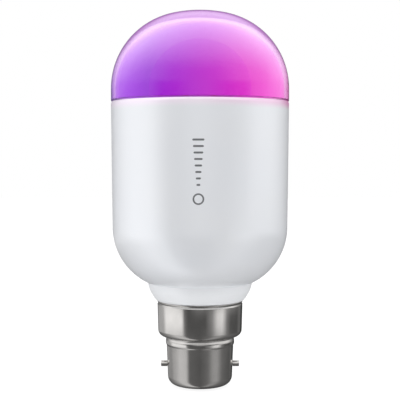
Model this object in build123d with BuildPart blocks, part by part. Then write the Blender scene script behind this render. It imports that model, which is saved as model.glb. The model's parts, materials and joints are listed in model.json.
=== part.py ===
"""Smart LED light bulb with a two-pin bayonet cap, as an assembly of separate pieces.

Millimetres, +Z up. The origin is the centre of the contact plane, where the two contact plates
press on the lampholder's plungers. The bulb stands upright on +Z with its dome on top, the two
bayonet pins point along +X and -X, and the contact plates lie at +Y and -Y.
"""

from build123d import *

import os
from math import asin, atan2, cos, degrees, radians, sin, sqrt

os.makedirs("parts", exist_ok=True)

# ---------------------------------------------------------------- driving dimensions

# Bayonet cap (22 mm barrel, two pins)
CAP_SHEET = 0.45  # thickness of the drawn metal shell
CAP_FOOT_Z = 0.5
BARREL_FOOT_R = 10.95
BARREL_FOOT_Z = 3.5
BARREL_CURL_R = 3.0  # the foot curls in to grip the insulator
BARREL_TOP_R = 11.35
BARREL_TOP_Z = 14.2
NECK_RING_R = 11.65
NECK_RING_RISE = 0.4  # the barrel widens to the neck ring over this height
NECK_FLARE = 0.25
STEP_Z = 17.3
STEP_FILLET = 2.1
FLANGE_FOOT_R = 14.25
FLANGE_TOP_R = 14.5
FLANGE_TOP_Z = 29.4
PIN_Z = 7.5
PIN_R = 1.0
PIN_SPAN = 26.7  # over the tips of both pins
PIN_SEAT_R = 11.16

# Contacts
CONTACT_Y = 3.7
CONTACT_LENGTH = 6.8
CONTACT_WIDTH = 3.6
CONTACT_CORNER_R = 1.7
CONTACT_THICKNESS = 0.8
EYELET_R = 0.9
EYELET_BORE_R = 0.5
EYELET_TOP_Z = 5.4

# Collar between the cap and the body
COLLAR_TOP_Z = 35.6
COLLAR_TOP_R = 17.75
COLLAR_WAIST = (17.2, 33.2)
COLLAR_BEND = (16.3, 31.6)
COLLAR_FOOT_Z = 29.55
COLLAR_FOOT_R = 14.8
SPIGOT_R = 13.95
SPIGOT_FOOT_R = 13.7
SPIGOT_FOOT_Z = 19.8
COLLAR_BORE_R = 12.35
SNAP_RING_R = 14.9
SNAP_RING_WALL = 1.3
SNAP_RING_TOP_Z = 39.0
HOOK_COUNT = 4
HOOK_START = 45  # the first hook's place, in degrees round the axis

# Body shell
BODY_R = 30.0  # at the seam under the dome
SEAM_Z = 96.6
BODY_LOW_R = 29.6  # where the rounded bottom starts
BODY_LOW_Z = 54.4
BODY_BOTTOM_R = 20.9  # radius of the rounded bottom
BODY_WALL = 1.6
BODY_HOLE_R = 15.1
BODY_FLOOR_Z = 37.4

# Diffuser dome
DOME_SHOULDER_Z = 100.85  # the straight wall ends here
DOME_SIDE_R = 25.75  # radius of the arc between wall and crown
DOME_TOP_Z = 127.05
DOME_WALL = 1.5
DOME_CROWN_WALL = 2.5
DOME_BORE_SIDE_R = 23.0
LINER_GAP = 0.15
LINER_WALL = 0.8
LINER_FOOT_Z = 97.25
SKIRT_R = 28.2
SKIRT_INNER_R = 26.9
SKIRT_FOOT_Z = 93.0
LUG_COUNT = 6

# Inner diffuser over the colour LEDs
INNER_R = 17.3
INNER_WALL = 1.2
INNER_SPRING_Z = 101.2  # the height of the hemisphere's centre
INNER_FLANGE_R = 19.0

# Heat path, from the bottom up
SINK_GAP = 0.1  # the aluminium cup sits this far inside the body shell
SINK_WALL = 1.2
SINK_FOOT_Z = 39.2
SINK_TOP_Z = 92.4
SPREADER_Z = 90.8
SPREADER_R = 27.0
SPREADER_THICKNESS = 1.5
PAD_THICKNESS = 0.3
BOARD_THICKNESS = 1.2
BOARD_R = 25.5
SHEET_THICKNESS = 0.4
PAD_Z = SPREADER_Z + SPREADER_THICKNESS
LED_BOARD_Z = PAD_Z + PAD_THICKNESS
LED_FACE_Z = LED_BOARD_Z + BOARD_THICKNESS
SHEET_TOP_Z = LED_FACE_Z + SHEET_THICKNESS

# Layout of the LED board
WHITE_RING_R = 21.5
RING_STEPS = 15  # every fifth place on the white ring is a screw
RGB_RING_R = 12.3
RGB_COUNT = 6
POST_RING_R = 18.15
POST_R = 0.7
SCREW_ANGLE = 90
POST_ANGLE = 30
SCREW_R = 1.2
SCREW_HOLE_R = 1.4

# Driver housing
HOUSING_R = 20.0
HOUSING_WALL = 1.0
HOUSING_NECK_R = 12.2
HOUSING_FOOT_Z = 20.0
HOUSING_CONE_Z = 40.6
HOUSING_BODY_Z = 49.6
HOUSING_TOP_Z = 88.8
LID_THICKNESS = 1.5
BOSS_R = 2.6
BOSS_FOOT_Z = 78.0

# Driver board, standing upright in the housing
DRIVER_Y = 5.2  # front face
DRIVER_THICKNESS = 1.6
DRIVER_BACK_Y = DRIVER_Y + DRIVER_THICKNESS
DRIVER_TAIL_HALF = 8.5
DRIVER_TAIL_Z = 42.0
DRIVER_MAIN_HALF = 17.0
DRIVER_MAIN_Z = 52.0
DRIVER_FOOT_Z = 20.5
DRIVER_TOP_Z = 86.5

# Radio board, standing up through the LED board into the dome
RADIO_HALF_WIDTH = 7.3
RADIO_THICKNESS = 1.0
RADIO_FOOT_Z = 66.0
RADIO_TOP_Z = 108.0
SLOT_HALF_WIDTH = 8.0
SLOT_HALF_DEPTH = 1.5

# Pin headers
HEADER_PITCH = 2.0
HEADER_PINS = 6
PIN_SIDE = 0.6
HEADER_HOLE_R = 0.45
LED_HEADER_Y = DRIVER_BACK_Y + PIN_SIDE / 2
RADIO_HEADER_Z = 69.0

# Through-hole components on the driver board: centres as (x, z) on its front face
LEAD_R = 0.3
LEAD_HOLE_R = 0.4
LEAD_PROUD = 1.0  # leads and pins stand this far out of a board
LEAD_END_Y = DRIVER_BACK_Y + LEAD_PROUD
FOOT_GAP = 0.2  # the parts stand this far off the board
MAINS_X = 3.0
MAINS_Z = 22.9
FUSE = (-4.8, 31.0)
VARISTOR = (4.2, 32.5)
FILM_CAPACITOR = (0.0, 43.8)
BULK_CAPACITOR = (-8.2, 57.2)
TRANSFORMER = (7.6, 57.2)
OUTPUT_CAPACITOR = (12.2, 74.0)
CHOKE = (-12.2, 74.0)

FIT = 0.03  # clearance between pieces that are pressed or cast together


def on_line(start, end, height):
    """The radius at a height on the straight line between two profile points."""
    share = (height - start[1]) / (end[1] - start[1])
    return start[0] + share * (end[0] - start[0])


def bottom_r(radius, height):
    """The radius at a height on an arc about the centre of the body's rounded bottom."""
    return body_centre[0] + sqrt(radius**2 - (body_centre[1] - height) ** 2)


def bottom_angle(radius, height):
    """The angle, in degrees, below the horizontal at which such an arc reaches a height."""
    return degrees(asin((body_centre[1] - height) / radius))


def finish(piece, label):
    """Name a finished piece and write it."""
    piece.part.label = label
    export_step(piece.part, f"parts/{label}.step")


# ---------------------------------------------------------------- bayonet cap

# The nickel-plated brass shell is one drawn cup: a rounded lip and a shallow groove at the top,
# the wide flange that grips the collar, a step, and the barrel that enters the lampholder.
LIP_CHAMFER = 0.25
GROOVE_Z = 28.35
GROOVE_DEPTH = 0.2
SPIGOT_HOLE_R = 0.78
step_centre = (FLANGE_FOOT_R - STEP_FILLET, STEP_Z + STEP_FILLET)
curl_centre = (BARREL_FOOT_R - BARREL_CURL_R, BARREL_FOOT_Z)

with BuildPart() as cap_shell:
    with BuildSketch(Plane.XZ):
        with BuildLine():
            Polyline(
                (FLANGE_TOP_R - CAP_SHEET, FLANGE_TOP_Z),
                (FLANGE_TOP_R - LIP_CHAMFER, FLANGE_TOP_Z),
                (FLANGE_TOP_R, FLANGE_TOP_Z - LIP_CHAMFER),
                (FLANGE_TOP_R, GROOVE_Z + GROOVE_DEPTH),
                (FLANGE_TOP_R - GROOVE_DEPTH, GROOVE_Z),
                (FLANGE_TOP_R, GROOVE_Z - GROOVE_DEPTH),
                (FLANGE_FOOT_R, step_centre[1]),
            )
            CenterArc(step_centre, STEP_FILLET, 0, -90)
            Polyline(
                (step_centre[0], STEP_Z),
                (NECK_RING_R + NECK_FLARE, STEP_Z),
                (NECK_RING_R, STEP_Z - NECK_FLARE),
                (NECK_RING_R, BARREL_TOP_Z + NECK_RING_RISE),
                (BARREL_TOP_R, BARREL_TOP_Z),
                (BARREL_FOOT_R, BARREL_FOOT_Z),
            )
            CenterArc(curl_centre, BARREL_CURL_R, 0, -90)
            Line((curl_centre[0], CAP_FOOT_Z), (curl_centre[0], CAP_FOOT_Z + CAP_SHEET))
            CenterArc(curl_centre, BARREL_CURL_R - CAP_SHEET, -90, 90)
            Polyline(
                (BARREL_FOOT_R - CAP_SHEET, BARREL_FOOT_Z),
                (BARREL_TOP_R - CAP_SHEET, BARREL_TOP_Z),
                (NECK_RING_R - CAP_SHEET, BARREL_TOP_Z + NECK_RING_RISE),
                (NECK_RING_R - CAP_SHEET, STEP_Z + CAP_SHEET),
                (step_centre[0], STEP_Z + CAP_SHEET),
            )
            CenterArc(step_centre, STEP_FILLET - CAP_SHEET, -90, 90)
            Line(
                (FLANGE_FOOT_R - CAP_SHEET, step_centre[1]),
                (FLANGE_TOP_R - CAP_SHEET, FLANGE_TOP_Z),
            )
        make_face()
    revolve(axis=Axis.Z)
    # Round holes for the spigots of the two bayonet pins
    with Locations((0, 0, PIN_Z)):
        Cylinder(SPIGOT_HOLE_R, PIN_SPAN, rotation=(0, 90, 0), mode=Mode.SUBTRACT)
finish(cap_shell, "cap_shell")

# Each pin is a turned brass rivet: a head inside the barrel, a spigot through its wall, and
# the shank that rides in the lampholder's slot.
PIN_HEAD_R = 1.3
PIN_HEAD_FROM = 9.9
PIN_HEAD_TO = 10.5
PIN_SPIGOT_R = 0.75
PIN_CHAMFER = 0.2
pin_tip = PIN_SPAN / 2

with BuildPart() as bayonet_pins:
    with BuildSketch(Plane.XZ):
        with BuildLine():
            Polyline(
                (PIN_HEAD_FROM, PIN_Z),
                (PIN_HEAD_FROM, PIN_Z + PIN_HEAD_R),
                (PIN_HEAD_TO, PIN_Z + PIN_HEAD_R),
                (PIN_HEAD_TO, PIN_Z + PIN_SPIGOT_R),
                (PIN_SEAT_R, PIN_Z + PIN_SPIGOT_R),
                (PIN_SEAT_R, PIN_Z + PIN_R),
                (pin_tip - PIN_CHAMFER, PIN_Z + PIN_R),
                (pin_tip, PIN_Z + PIN_R - PIN_CHAMFER),
                (pin_tip, PIN_Z),
                close=True,
            )
        make_face()
    revolve(axis=Axis((0, 0, PIN_Z), (1, 0, 0)))
    mirror(about=Plane.YZ)
finish(bayonet_pins, "bayonet_pins")

# The black glass insulator is cast into the barrel's curled foot. Two shallow pockets hold the
# contact plates, and two holes hold their eyelets.
INSULATOR_TOP_Z = 4.8
INSULATOR_DISH_R = 8.2
INSULATOR_DISH_DEPTH = 0.8
POCKET_CLEARANCE = 0.05

with BuildPart() as cap_insulator:
    with BuildSketch(Plane.XZ):
        with BuildLine():
            Polyline(
                (0, CAP_FOOT_Z),
                (curl_centre[0] - FIT, CAP_FOOT_Z),
                (curl_centre[0] - FIT, CAP_FOOT_Z + CAP_SHEET + FIT),
                (curl_centre[0], CAP_FOOT_Z + CAP_SHEET + FIT),
            )
            CenterArc(curl_centre, BARREL_CURL_R - CAP_SHEET - FIT, -90, 90)
            Polyline(
                (BARREL_FOOT_R - CAP_SHEET - FIT, BARREL_FOOT_Z),
                (BARREL_FOOT_R - CAP_SHEET - FIT, INSULATOR_TOP_Z),
                (INSULATOR_DISH_R, INSULATOR_TOP_Z - INSULATOR_DISH_DEPTH),
                (0, INSULATOR_TOP_Z - INSULATOR_DISH_DEPTH),
                (0, CAP_FOOT_Z),
            )
        make_face()
    revolve(axis=Axis.Z)
    with BuildSketch(Plane.XY.offset(CAP_FOOT_Z)):
        with Locations((0, CONTACT_Y), (0, -CONTACT_Y)):
            RectangleRounded(
                CONTACT_LENGTH + 2 * POCKET_CLEARANCE,
                CONTACT_WIDTH + 2 * POCKET_CLEARANCE,
                CONTACT_CORNER_R,
            )
    extrude(amount=CONTACT_THICKNESS - CAP_FOOT_Z, mode=Mode.SUBTRACT)
    with Locations((0, CONTACT_Y, 0), (0, -CONTACT_Y, 0)):
        Cylinder(EYELET_R + FIT, 4 * EYELET_TOP_Z, mode=Mode.SUBTRACT)
finish(cap_insulator, "cap_insulator")

# Brass contact plates: rounded tablets with a countersunk hole for the solder
SINK_DEPTH = 0.5
SINK_TOP_R = 1.1
PLATE_HOLE_R = 0.6
PLATE_EDGE_R = 0.25

with BuildPart() as contact_plates:
    with BuildSketch():
        with Locations((0, CONTACT_Y), (0, -CONTACT_Y)):
            RectangleRounded(CONTACT_LENGTH, CONTACT_WIDTH, CONTACT_CORNER_R)
    extrude(amount=CONTACT_THICKNESS)
    fillet(contact_plates.faces().sort_by(Axis.Z)[:2].edges(), PLATE_EDGE_R)
    with Locations((0, CONTACT_Y, 0), (0, -CONTACT_Y, 0)):
        Cylinder(PLATE_HOLE_R, 4 * CONTACT_THICKNESS, mode=Mode.SUBTRACT)
        Cone(
            SINK_TOP_R,
            PLATE_HOLE_R,
            SINK_DEPTH,
            align=(Align.CENTER, Align.CENTER, Align.MIN),
            mode=Mode.SUBTRACT,
        )
finish(contact_plates, "contact_plates")

# Brass eyelets that carry the contact plates through the glass
with BuildPart() as contact_eyelets:
    with BuildSketch(Plane.XY.offset(CONTACT_THICKNESS)):
        with Locations((0, CONTACT_Y), (0, -CONTACT_Y)):
            Circle(EYELET_R)
            Circle(EYELET_BORE_R, mode=Mode.SUBTRACT)
    extrude(amount=EYELET_TOP_Z - CONTACT_THICKNESS)
finish(contact_eyelets, "contact_eyelets")

# Solder fills the countersinks, a little below the contact plane, and runs up into the eyelets.
SOLDER_FACE_Z = 0.1
SOLDER_TOP_Z = 2.0
SOLDER_CORE_R = EYELET_BORE_R - FIT
solder_face_r = on_line((SINK_TOP_R, 0), (PLATE_HOLE_R, SINK_DEPTH), SOLDER_FACE_Z) - FIT

with BuildPart() as contact_solder:
    for side in (1, -1):
        with BuildSketch(Plane.XZ.offset(-side * CONTACT_Y)):
            with BuildLine():
                Polyline(
                    (0, SOLDER_FACE_Z),
                    (solder_face_r, SOLDER_FACE_Z),
                    (PLATE_HOLE_R - FIT, SINK_DEPTH),
                    (PLATE_HOLE_R - FIT, CONTACT_THICKNESS),
                    (SOLDER_CORE_R, CONTACT_THICKNESS),
                    (SOLDER_CORE_R, SOLDER_TOP_Z),
                    (0, SOLDER_TOP_Z),
                    close=True,
                )
            make_face()
        revolve(axis=Axis((0, side * CONTACT_Y, 0), (0, 0, 1)))
finish(contact_solder, "contact_solder")

# ---------------------------------------------------------------- collar

# A moulded white collar: its spigot is glued into the cap's flange, its cone carries the body,
# and four hooks on slotted fingers snap over the floor of the body shell.
COLLAR_CHIN = (15.35, 30.1)
CHIN_FILLET = 1.2
GLUE_TOP_Z = 25.2
GLUE_FOOT_Z = 22.0
GLUE_DEPTH = 0.5
THROAT_Z = 33.0
HOOK_R = 16.2
HOOK_FOOT_Z = BODY_FLOOR_Z + 0.05
HOOK_WIDTH = 16  # degrees round the axis
HOOK_TIP = 0.3
FINGER_GAP = 0.8
FINGER_MARGIN = 3  # degrees from the hook to the gap beside it
FINGER_FOOT_Z = 36.4
spigot_top = (SPIGOT_R, COLLAR_FOOT_Z)
spigot_foot = (SPIGOT_FOOT_R, SPIGOT_FOOT_Z)

with BuildPart() as neck_collar:
    with BuildSketch(Plane.XZ):
        with BuildLine():
            Polyline(
                (COLLAR_TOP_R, COLLAR_TOP_Z),
                COLLAR_WAIST,
                COLLAR_BEND,
                COLLAR_CHIN,
                (COLLAR_FOOT_R, COLLAR_FOOT_Z),
                spigot_top,
                (on_line(spigot_top, spigot_foot, GLUE_TOP_Z), GLUE_TOP_Z),
                (SPIGOT_FOOT_R - GLUE_DEPTH, GLUE_TOP_Z),
                (SPIGOT_FOOT_R - GLUE_DEPTH, GLUE_FOOT_Z),
                (on_line(spigot_top, spigot_foot, GLUE_FOOT_Z), GLUE_FOOT_Z),
                spigot_foot,
                (COLLAR_BORE_R, SPIGOT_FOOT_Z),
                (COLLAR_BORE_R, THROAT_Z),
                (SNAP_RING_R - SNAP_RING_WALL, THROAT_Z + SNAP_RING_WALL),
                (SNAP_RING_R - SNAP_RING_WALL, SNAP_RING_TOP_Z),
                (SNAP_RING_R, SNAP_RING_TOP_Z),
                (SNAP_RING_R, COLLAR_TOP_Z),
                close=True,
            )
        profile = make_face()
        bend = profile.vertices().sort_by_distance((COLLAR_BEND[0], COLLAR_BEND[1], 0))[0]
        fillet(bend, CHIN_FILLET)
    revolve(axis=Axis.Z)
    for index in range(HOOK_COUNT):
        turn = index * 360 / HOOK_COUNT + HOOK_START
        with BuildSketch(Plane.XZ.rotated((0, 0, turn - HOOK_WIDTH / 2))):
            with BuildLine():
                Polyline(
                    (SNAP_RING_R - SNAP_RING_WALL / 2, HOOK_FOOT_Z),
                    (HOOK_R, HOOK_FOOT_Z),
                    (HOOK_R, HOOK_FOOT_Z + HOOK_TIP),
                    (SNAP_RING_R, SNAP_RING_TOP_Z),
                    (SNAP_RING_R - SNAP_RING_WALL / 2, SNAP_RING_TOP_Z),
                    close=True,
                )
            make_face()
        revolve(axis=Axis.Z, revolution_arc=HOOK_WIDTH)
        for edge in (-1, 1):
            gap_turn = radians(turn + edge * (HOOK_WIDTH / 2 + FINGER_MARGIN))
            gap_plane = Plane(
                origin=(0, 0, FINGER_FOOT_Z),
                x_dir=(cos(gap_turn), sin(gap_turn), 0),
                z_dir=(0, 0, 1),
            )
            with BuildSketch(gap_plane):
                with Locations((SNAP_RING_R, 0)):
                    Rectangle(3 * SNAP_RING_WALL, FINGER_GAP)
            extrude(amount=SNAP_RING_TOP_Z, mode=Mode.SUBTRACT)
finish(neck_collar, "neck_collar")

# The ring of adhesive fills the groove round the collar's spigot and bonds the cap to it.
flange_inner_top = (FLANGE_TOP_R - CAP_SHEET, FLANGE_TOP_Z)
flange_inner_foot = (FLANGE_FOOT_R - CAP_SHEET, step_centre[1])

with BuildPart() as cap_adhesive:
    with BuildSketch(Plane.XZ):
        with BuildLine():
            Polyline(
                (SPIGOT_FOOT_R - GLUE_DEPTH + FIT, GLUE_FOOT_Z + FIT),
                (on_line(flange_inner_top, flange_inner_foot, GLUE_FOOT_Z) - FIT, GLUE_FOOT_Z + FIT),
                (on_line(flange_inner_top, flange_inner_foot, GLUE_TOP_Z) - FIT, GLUE_TOP_Z - FIT),
                (SPIGOT_FOOT_R - GLUE_DEPTH + FIT, GLUE_TOP_Z - FIT),
                close=True,
            )
        make_face()
    revolve(axis=Axis.Z)
finish(cap_adhesive, "cap_adhesive")

# ---------------------------------------------------------------- body shell

# The white body is one moulded shell. Its wall leans out a little towards the dome, its bottom
# is a large arc, and a groove inside its rim takes the dome's snap lugs.
RIM_STEP = 0.25
RIM_HEIGHT = 0.7
GROOVE_R = 28.95
GROOVE_FOOT_Z = 93.9
GROOVE_TOP_Z = 95.3
body_centre = (BODY_LOW_R - BODY_BOTTOM_R, BODY_LOW_Z)
body_rim = (BODY_R, SEAM_Z)
body_low = (BODY_LOW_R, BODY_LOW_Z)
inner_bottom_r = BODY_BOTTOM_R - BODY_WALL
outer_turn = bottom_angle(BODY_BOTTOM_R, COLLAR_TOP_Z)
inner_turn = bottom_angle(inner_bottom_r, BODY_FLOOR_Z)


def body_inner_r(height):
    """The inner radius of the body's leaning wall."""
    return on_line(body_rim, body_low, height) - BODY_WALL


with BuildPart() as body_shell:
    with BuildSketch(Plane.XZ):
        with BuildLine():
            Polyline(
                (BODY_R - RIM_STEP, SEAM_Z),
                (on_line(body_rim, body_low, SEAM_Z - RIM_HEIGHT), SEAM_Z - RIM_HEIGHT),
                body_low,
            )
            CenterArc(body_centre, BODY_BOTTOM_R, 0, -outer_turn)
            Polyline(
                (bottom_r(BODY_BOTTOM_R, COLLAR_TOP_Z), COLLAR_TOP_Z),
                (BODY_HOLE_R, COLLAR_TOP_Z),
                (BODY_HOLE_R, BODY_FLOOR_Z),
                (bottom_r(inner_bottom_r, BODY_FLOOR_Z), BODY_FLOOR_Z),
            )
            CenterArc(body_centre, inner_bottom_r, -inner_turn, inner_turn)
            Polyline(
                (BODY_LOW_R - BODY_WALL, BODY_LOW_Z),
                (body_inner_r(GROOVE_FOOT_Z), GROOVE_FOOT_Z),
                (GROOVE_R, GROOVE_FOOT_Z),
                (GROOVE_R, GROOVE_TOP_Z),
                (body_inner_r(GROOVE_TOP_Z), GROOVE_TOP_Z),
                (body_inner_r(SEAM_Z), SEAM_Z),
                (BODY_R - RIM_STEP, SEAM_Z),
            )
        make_face()
    revolve(axis=Axis.Z)
finish(body_shell, "body_shell")

# ---------------------------------------------------------------- heat path

# A deep-drawn aluminium cup lines the body and carries the heat down its wall. The spreader
# plate rests on the bead near its rim.
BEAD_R = 26.2
BEAD_FOOT_Z = 89.6
BEAD_SLOPE = 0.8
SPREADER_CLEARANCE = 0.05
sink_bottom_r = inner_bottom_r - SINK_GAP
sink_inner_bottom_r = sink_bottom_r - SINK_WALL
sink_turn = bottom_angle(sink_bottom_r, SINK_FOOT_Z)
sink_inner_turn = bottom_angle(sink_inner_bottom_r, SINK_FOOT_Z)


def sink_inner_r(height):
    """The inner radius of the cup's wall."""
    return body_inner_r(height) - SINK_GAP - SINK_WALL


with BuildPart() as heat_sink:
    with BuildSketch(Plane.XZ):
        with BuildLine():
            Line(
                (body_inner_r(SINK_TOP_Z) - SINK_GAP, SINK_TOP_Z),
                (BODY_LOW_R - BODY_WALL - SINK_GAP, BODY_LOW_Z),
            )
            CenterArc(body_centre, sink_bottom_r, 0, -sink_turn)
            Line(
                (bottom_r(sink_bottom_r, SINK_FOOT_Z), SINK_FOOT_Z),
                (bottom_r(sink_inner_bottom_r, SINK_FOOT_Z), SINK_FOOT_Z),
            )
            CenterArc(body_centre, sink_inner_bottom_r, -sink_inner_turn, sink_inner_turn)
            Polyline(
                (sink_inner_r(BODY_LOW_Z), BODY_LOW_Z),
                (sink_inner_r(BEAD_FOOT_Z - BEAD_SLOPE), BEAD_FOOT_Z - BEAD_SLOPE),
                (BEAD_R, BEAD_FOOT_Z),
                (BEAD_R, SPREADER_Z),
                (SPREADER_R + SPREADER_CLEARANCE, SPREADER_Z),
                (SPREADER_R + SPREADER_CLEARANCE, SINK_TOP_Z),
                (body_inner_r(SINK_TOP_Z) - SINK_GAP, SINK_TOP_Z),
            )
        make_face()
    revolve(axis=Axis.Z)
finish(heat_sink, "heat_sink")

HEADER_SLOT_LENGTH = 11.8
HEADER_SLOT_DEPTH = 2.0
SPREADER_CHAMFER = 0.3
PAD_MARGIN = 0.3  # the pad ends this far inside the board's edge


def cut_slots():
    """Sketch the slots for the radio board and for the LED header."""
    Rectangle(2 * SLOT_HALF_WIDTH, 2 * SLOT_HALF_DEPTH, mode=Mode.SUBTRACT)
    with Locations((0, LED_HEADER_Y)):
        Rectangle(HEADER_SLOT_LENGTH, HEADER_SLOT_DEPTH, mode=Mode.SUBTRACT)


# The spreader is a turned aluminium disc, held to the housing's bosses by the board screws.
with BuildPart() as spreader_plate:
    with BuildSketch(Plane.XY.offset(SPREADER_Z)):
        Circle(SPREADER_R)
        cut_slots()
        with PolarLocations(WHITE_RING_R, 3, SCREW_ANGLE):
            Circle(SCREW_HOLE_R, mode=Mode.SUBTRACT)
    extrude(amount=SPREADER_THICKNESS)
    chamfer(spreader_plate.faces().sort_by(Axis.Z)[-1].outer_wire().edges(), SPREADER_CHAMFER)
finish(spreader_plate, "spreader_plate")

# A soft silicone pad fills the joint between the LED board and the spreader.
with BuildPart() as thermal_pad:
    with BuildSketch(Plane.XY.offset(PAD_Z)):
        Circle(BOARD_R - PAD_MARGIN)
        cut_slots()
        with PolarLocations(WHITE_RING_R, 3, SCREW_ANGLE):
            Circle(SCREW_HOLE_R, mode=Mode.SUBTRACT)
    extrude(amount=PAD_THICKNESS)
finish(thermal_pad, "thermal_pad")

# ---------------------------------------------------------------- LED board

header_places = [(index - (HEADER_PINS - 1) / 2) * HEADER_PITCH for index in range(HEADER_PINS)]
white_angles = [
    SCREW_ANGLE + index * 360 / RING_STEPS for index in range(RING_STEPS) if index % 5 != 0
]
WHITE_SIZE = (2.8, 3.5, 0.7)  # along the radius, round the ring, high
RGB_SIZE = (5.0, 5.0, 1.6)


def ring_plane(radius, angle, height):
    """A plane at a place on a ring, with its X axis pointing outwards."""
    turn = radians(angle)
    return Plane(
        origin=(radius * cos(turn), radius * sin(turn), height),
        x_dir=(cos(turn), sin(turn), 0),
        z_dir=(0, 0, 1),
    )


rgb_angles = [index * 360 / RGB_COUNT for index in range(RGB_COUNT)]
white_planes = [ring_plane(WHITE_RING_R, angle, LED_FACE_Z) for angle in white_angles]
rgb_planes = [ring_plane(RGB_RING_R, angle, LED_FACE_Z) for angle in rgb_angles]

# A round aluminium-core board with a slot for the radio board and six header holes
POST_CLEARANCE = 0.05

with BuildPart() as led_board:
    with BuildSketch(Plane.XY.offset(LED_BOARD_Z)):
        Circle(BOARD_R)
        Rectangle(2 * SLOT_HALF_WIDTH, 2 * SLOT_HALF_DEPTH, mode=Mode.SUBTRACT)
        with Locations([(place, LED_HEADER_Y) for place in header_places]):
            Circle(HEADER_HOLE_R, mode=Mode.SUBTRACT)
        with PolarLocations(WHITE_RING_R, 3, SCREW_ANGLE):
            Circle(SCREW_HOLE_R, mode=Mode.SUBTRACT)
        with PolarLocations(POST_RING_R, 3, POST_ANGLE):
            Circle(POST_R + POST_CLEARANCE, mode=Mode.SUBTRACT)
    extrude(amount=BOARD_THICKNESS)
finish(led_board, "led_board")

# A white reflector sheet lies on the board, with a window for each LED.
WINDOW_MARGIN = 0.2
SHEET_MARGIN = 0.1
HEAD_HOLE_R = 2.4  # clears the screw heads

with BuildPart() as reflector_sheet:
    with BuildSketch(Plane.XY.offset(LED_FACE_Z)):
        Circle(BOARD_R - SHEET_MARGIN)
        cut_slots()
        with PolarLocations(WHITE_RING_R, 3, SCREW_ANGLE):
            Circle(HEAD_HOLE_R, mode=Mode.SUBTRACT)
        with PolarLocations(POST_RING_R, 3, POST_ANGLE):
            Circle(POST_R + POST_CLEARANCE, mode=Mode.SUBTRACT)
    extrude(amount=SHEET_THICKNESS)
    for planes, size in ((white_planes, WHITE_SIZE), (rgb_planes, RGB_SIZE)):
        for plane in planes:
            with BuildSketch(plane):
                Rectangle(size[0] + 2 * WINDOW_MARGIN, size[1] + 2 * WINDOW_MARGIN)
            extrude(amount=SHEET_THICKNESS, mode=Mode.SUBTRACT)
finish(reflector_sheet, "reflector_sheet")

# White LEDs in a ring, each a moulded cup with a pocket for its phosphor
WHITE_POCKET_R = 1.1
WHITE_POCKET_DEPTH = 0.4
WHITE_CORNER_R = 0.3

with BuildPart() as white_leds:
    for plane in white_planes:
        with BuildSketch(plane):
            RectangleRounded(WHITE_SIZE[0], WHITE_SIZE[1], WHITE_CORNER_R)
        extrude(amount=WHITE_SIZE[2])
        with BuildSketch(plane.offset(WHITE_SIZE[2])):
            Circle(WHITE_POCKET_R)
        extrude(amount=-WHITE_POCKET_DEPTH, mode=Mode.SUBTRACT)
finish(white_leds, "white_leds")

with BuildPart() as white_phosphor:
    for plane in white_planes:
        with BuildSketch(plane.offset(WHITE_SIZE[2] - WHITE_POCKET_DEPTH)):
            Circle(WHITE_POCKET_R - FIT)
        extrude(amount=WHITE_POCKET_DEPTH - FIT)
finish(white_phosphor, "white_phosphor")

# Colour LEDs under the inner diffuser, each with a round well of clear resin over three chips
RGB_POCKET_R = 1.9
RGB_POCKET_DEPTH = 0.8
RGB_CORNER_R = 0.4

with BuildPart() as rgb_leds:
    for plane in rgb_planes:
        with BuildSketch(plane):
            RectangleRounded(RGB_SIZE[0], RGB_SIZE[1], RGB_CORNER_R)
        extrude(amount=RGB_SIZE[2])
        with BuildSketch(plane.offset(RGB_SIZE[2])):
            Circle(RGB_POCKET_R)
        extrude(amount=-RGB_POCKET_DEPTH, mode=Mode.SUBTRACT)
finish(rgb_leds, "rgb_leds")

with BuildPart() as rgb_resin:
    for plane in rgb_planes:
        with BuildSketch(plane.offset(RGB_SIZE[2] - RGB_POCKET_DEPTH)):
            Circle(RGB_POCKET_R - FIT)
        extrude(amount=RGB_POCKET_DEPTH - FIT)
finish(rgb_resin, "rgb_resin")

# Three pan-head screws clamp the board, the pad and the spreader to the housing's bosses.
SCREW_HEAD_R = 2.2
SCREW_HEAD_HEIGHT = 1.4
SCREW_END_Z = 84.5
SCREW_POINT = 0.5
SCREW_HEAD_EDGE_R = 0.6
CROSS_LENGTH = 2.2
CROSS_WIDTH = 0.6
CROSS_DEPTH = 0.8

with BuildPart() as board_screws:
    with BuildSketch(Plane.XY.offset(SCREW_END_Z)):
        with PolarLocations(WHITE_RING_R, 3, SCREW_ANGLE):
            Circle(SCREW_R)
    extrude(amount=LED_FACE_Z - SCREW_END_Z)
    chamfer(board_screws.faces().group_by(Axis.Z)[0].edges(), SCREW_POINT)
    with BuildSketch(Plane.XY.offset(LED_FACE_Z)):
        with PolarLocations(WHITE_RING_R, 3, SCREW_ANGLE):
            Circle(SCREW_HEAD_R)
    extrude(amount=SCREW_HEAD_HEIGHT)
    fillet(board_screws.faces().group_by(Axis.Z)[-1].edges(), SCREW_HEAD_EDGE_R)
    with BuildSketch(Plane.XY.offset(LED_FACE_Z + SCREW_HEAD_HEIGHT)):
        with PolarLocations(WHITE_RING_R, 3, SCREW_ANGLE):
            Rectangle(CROSS_LENGTH, CROSS_WIDTH)
            Rectangle(CROSS_WIDTH, CROSS_LENGTH)
    extrude(amount=-CROSS_DEPTH, mode=Mode.SUBTRACT)
finish(board_screws, "board_screws")

# ---------------------------------------------------------------- optics

# The inner diffuser mixes the colours: a thin opal thimble whose flange sits on the reflector
# sheet, with three posts through the board.
FLANGE_THICKNESS = 0.8
POST_FOOT_Z = LED_BOARD_Z + FIT
inner_bore_r = INNER_R - INNER_WALL

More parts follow.
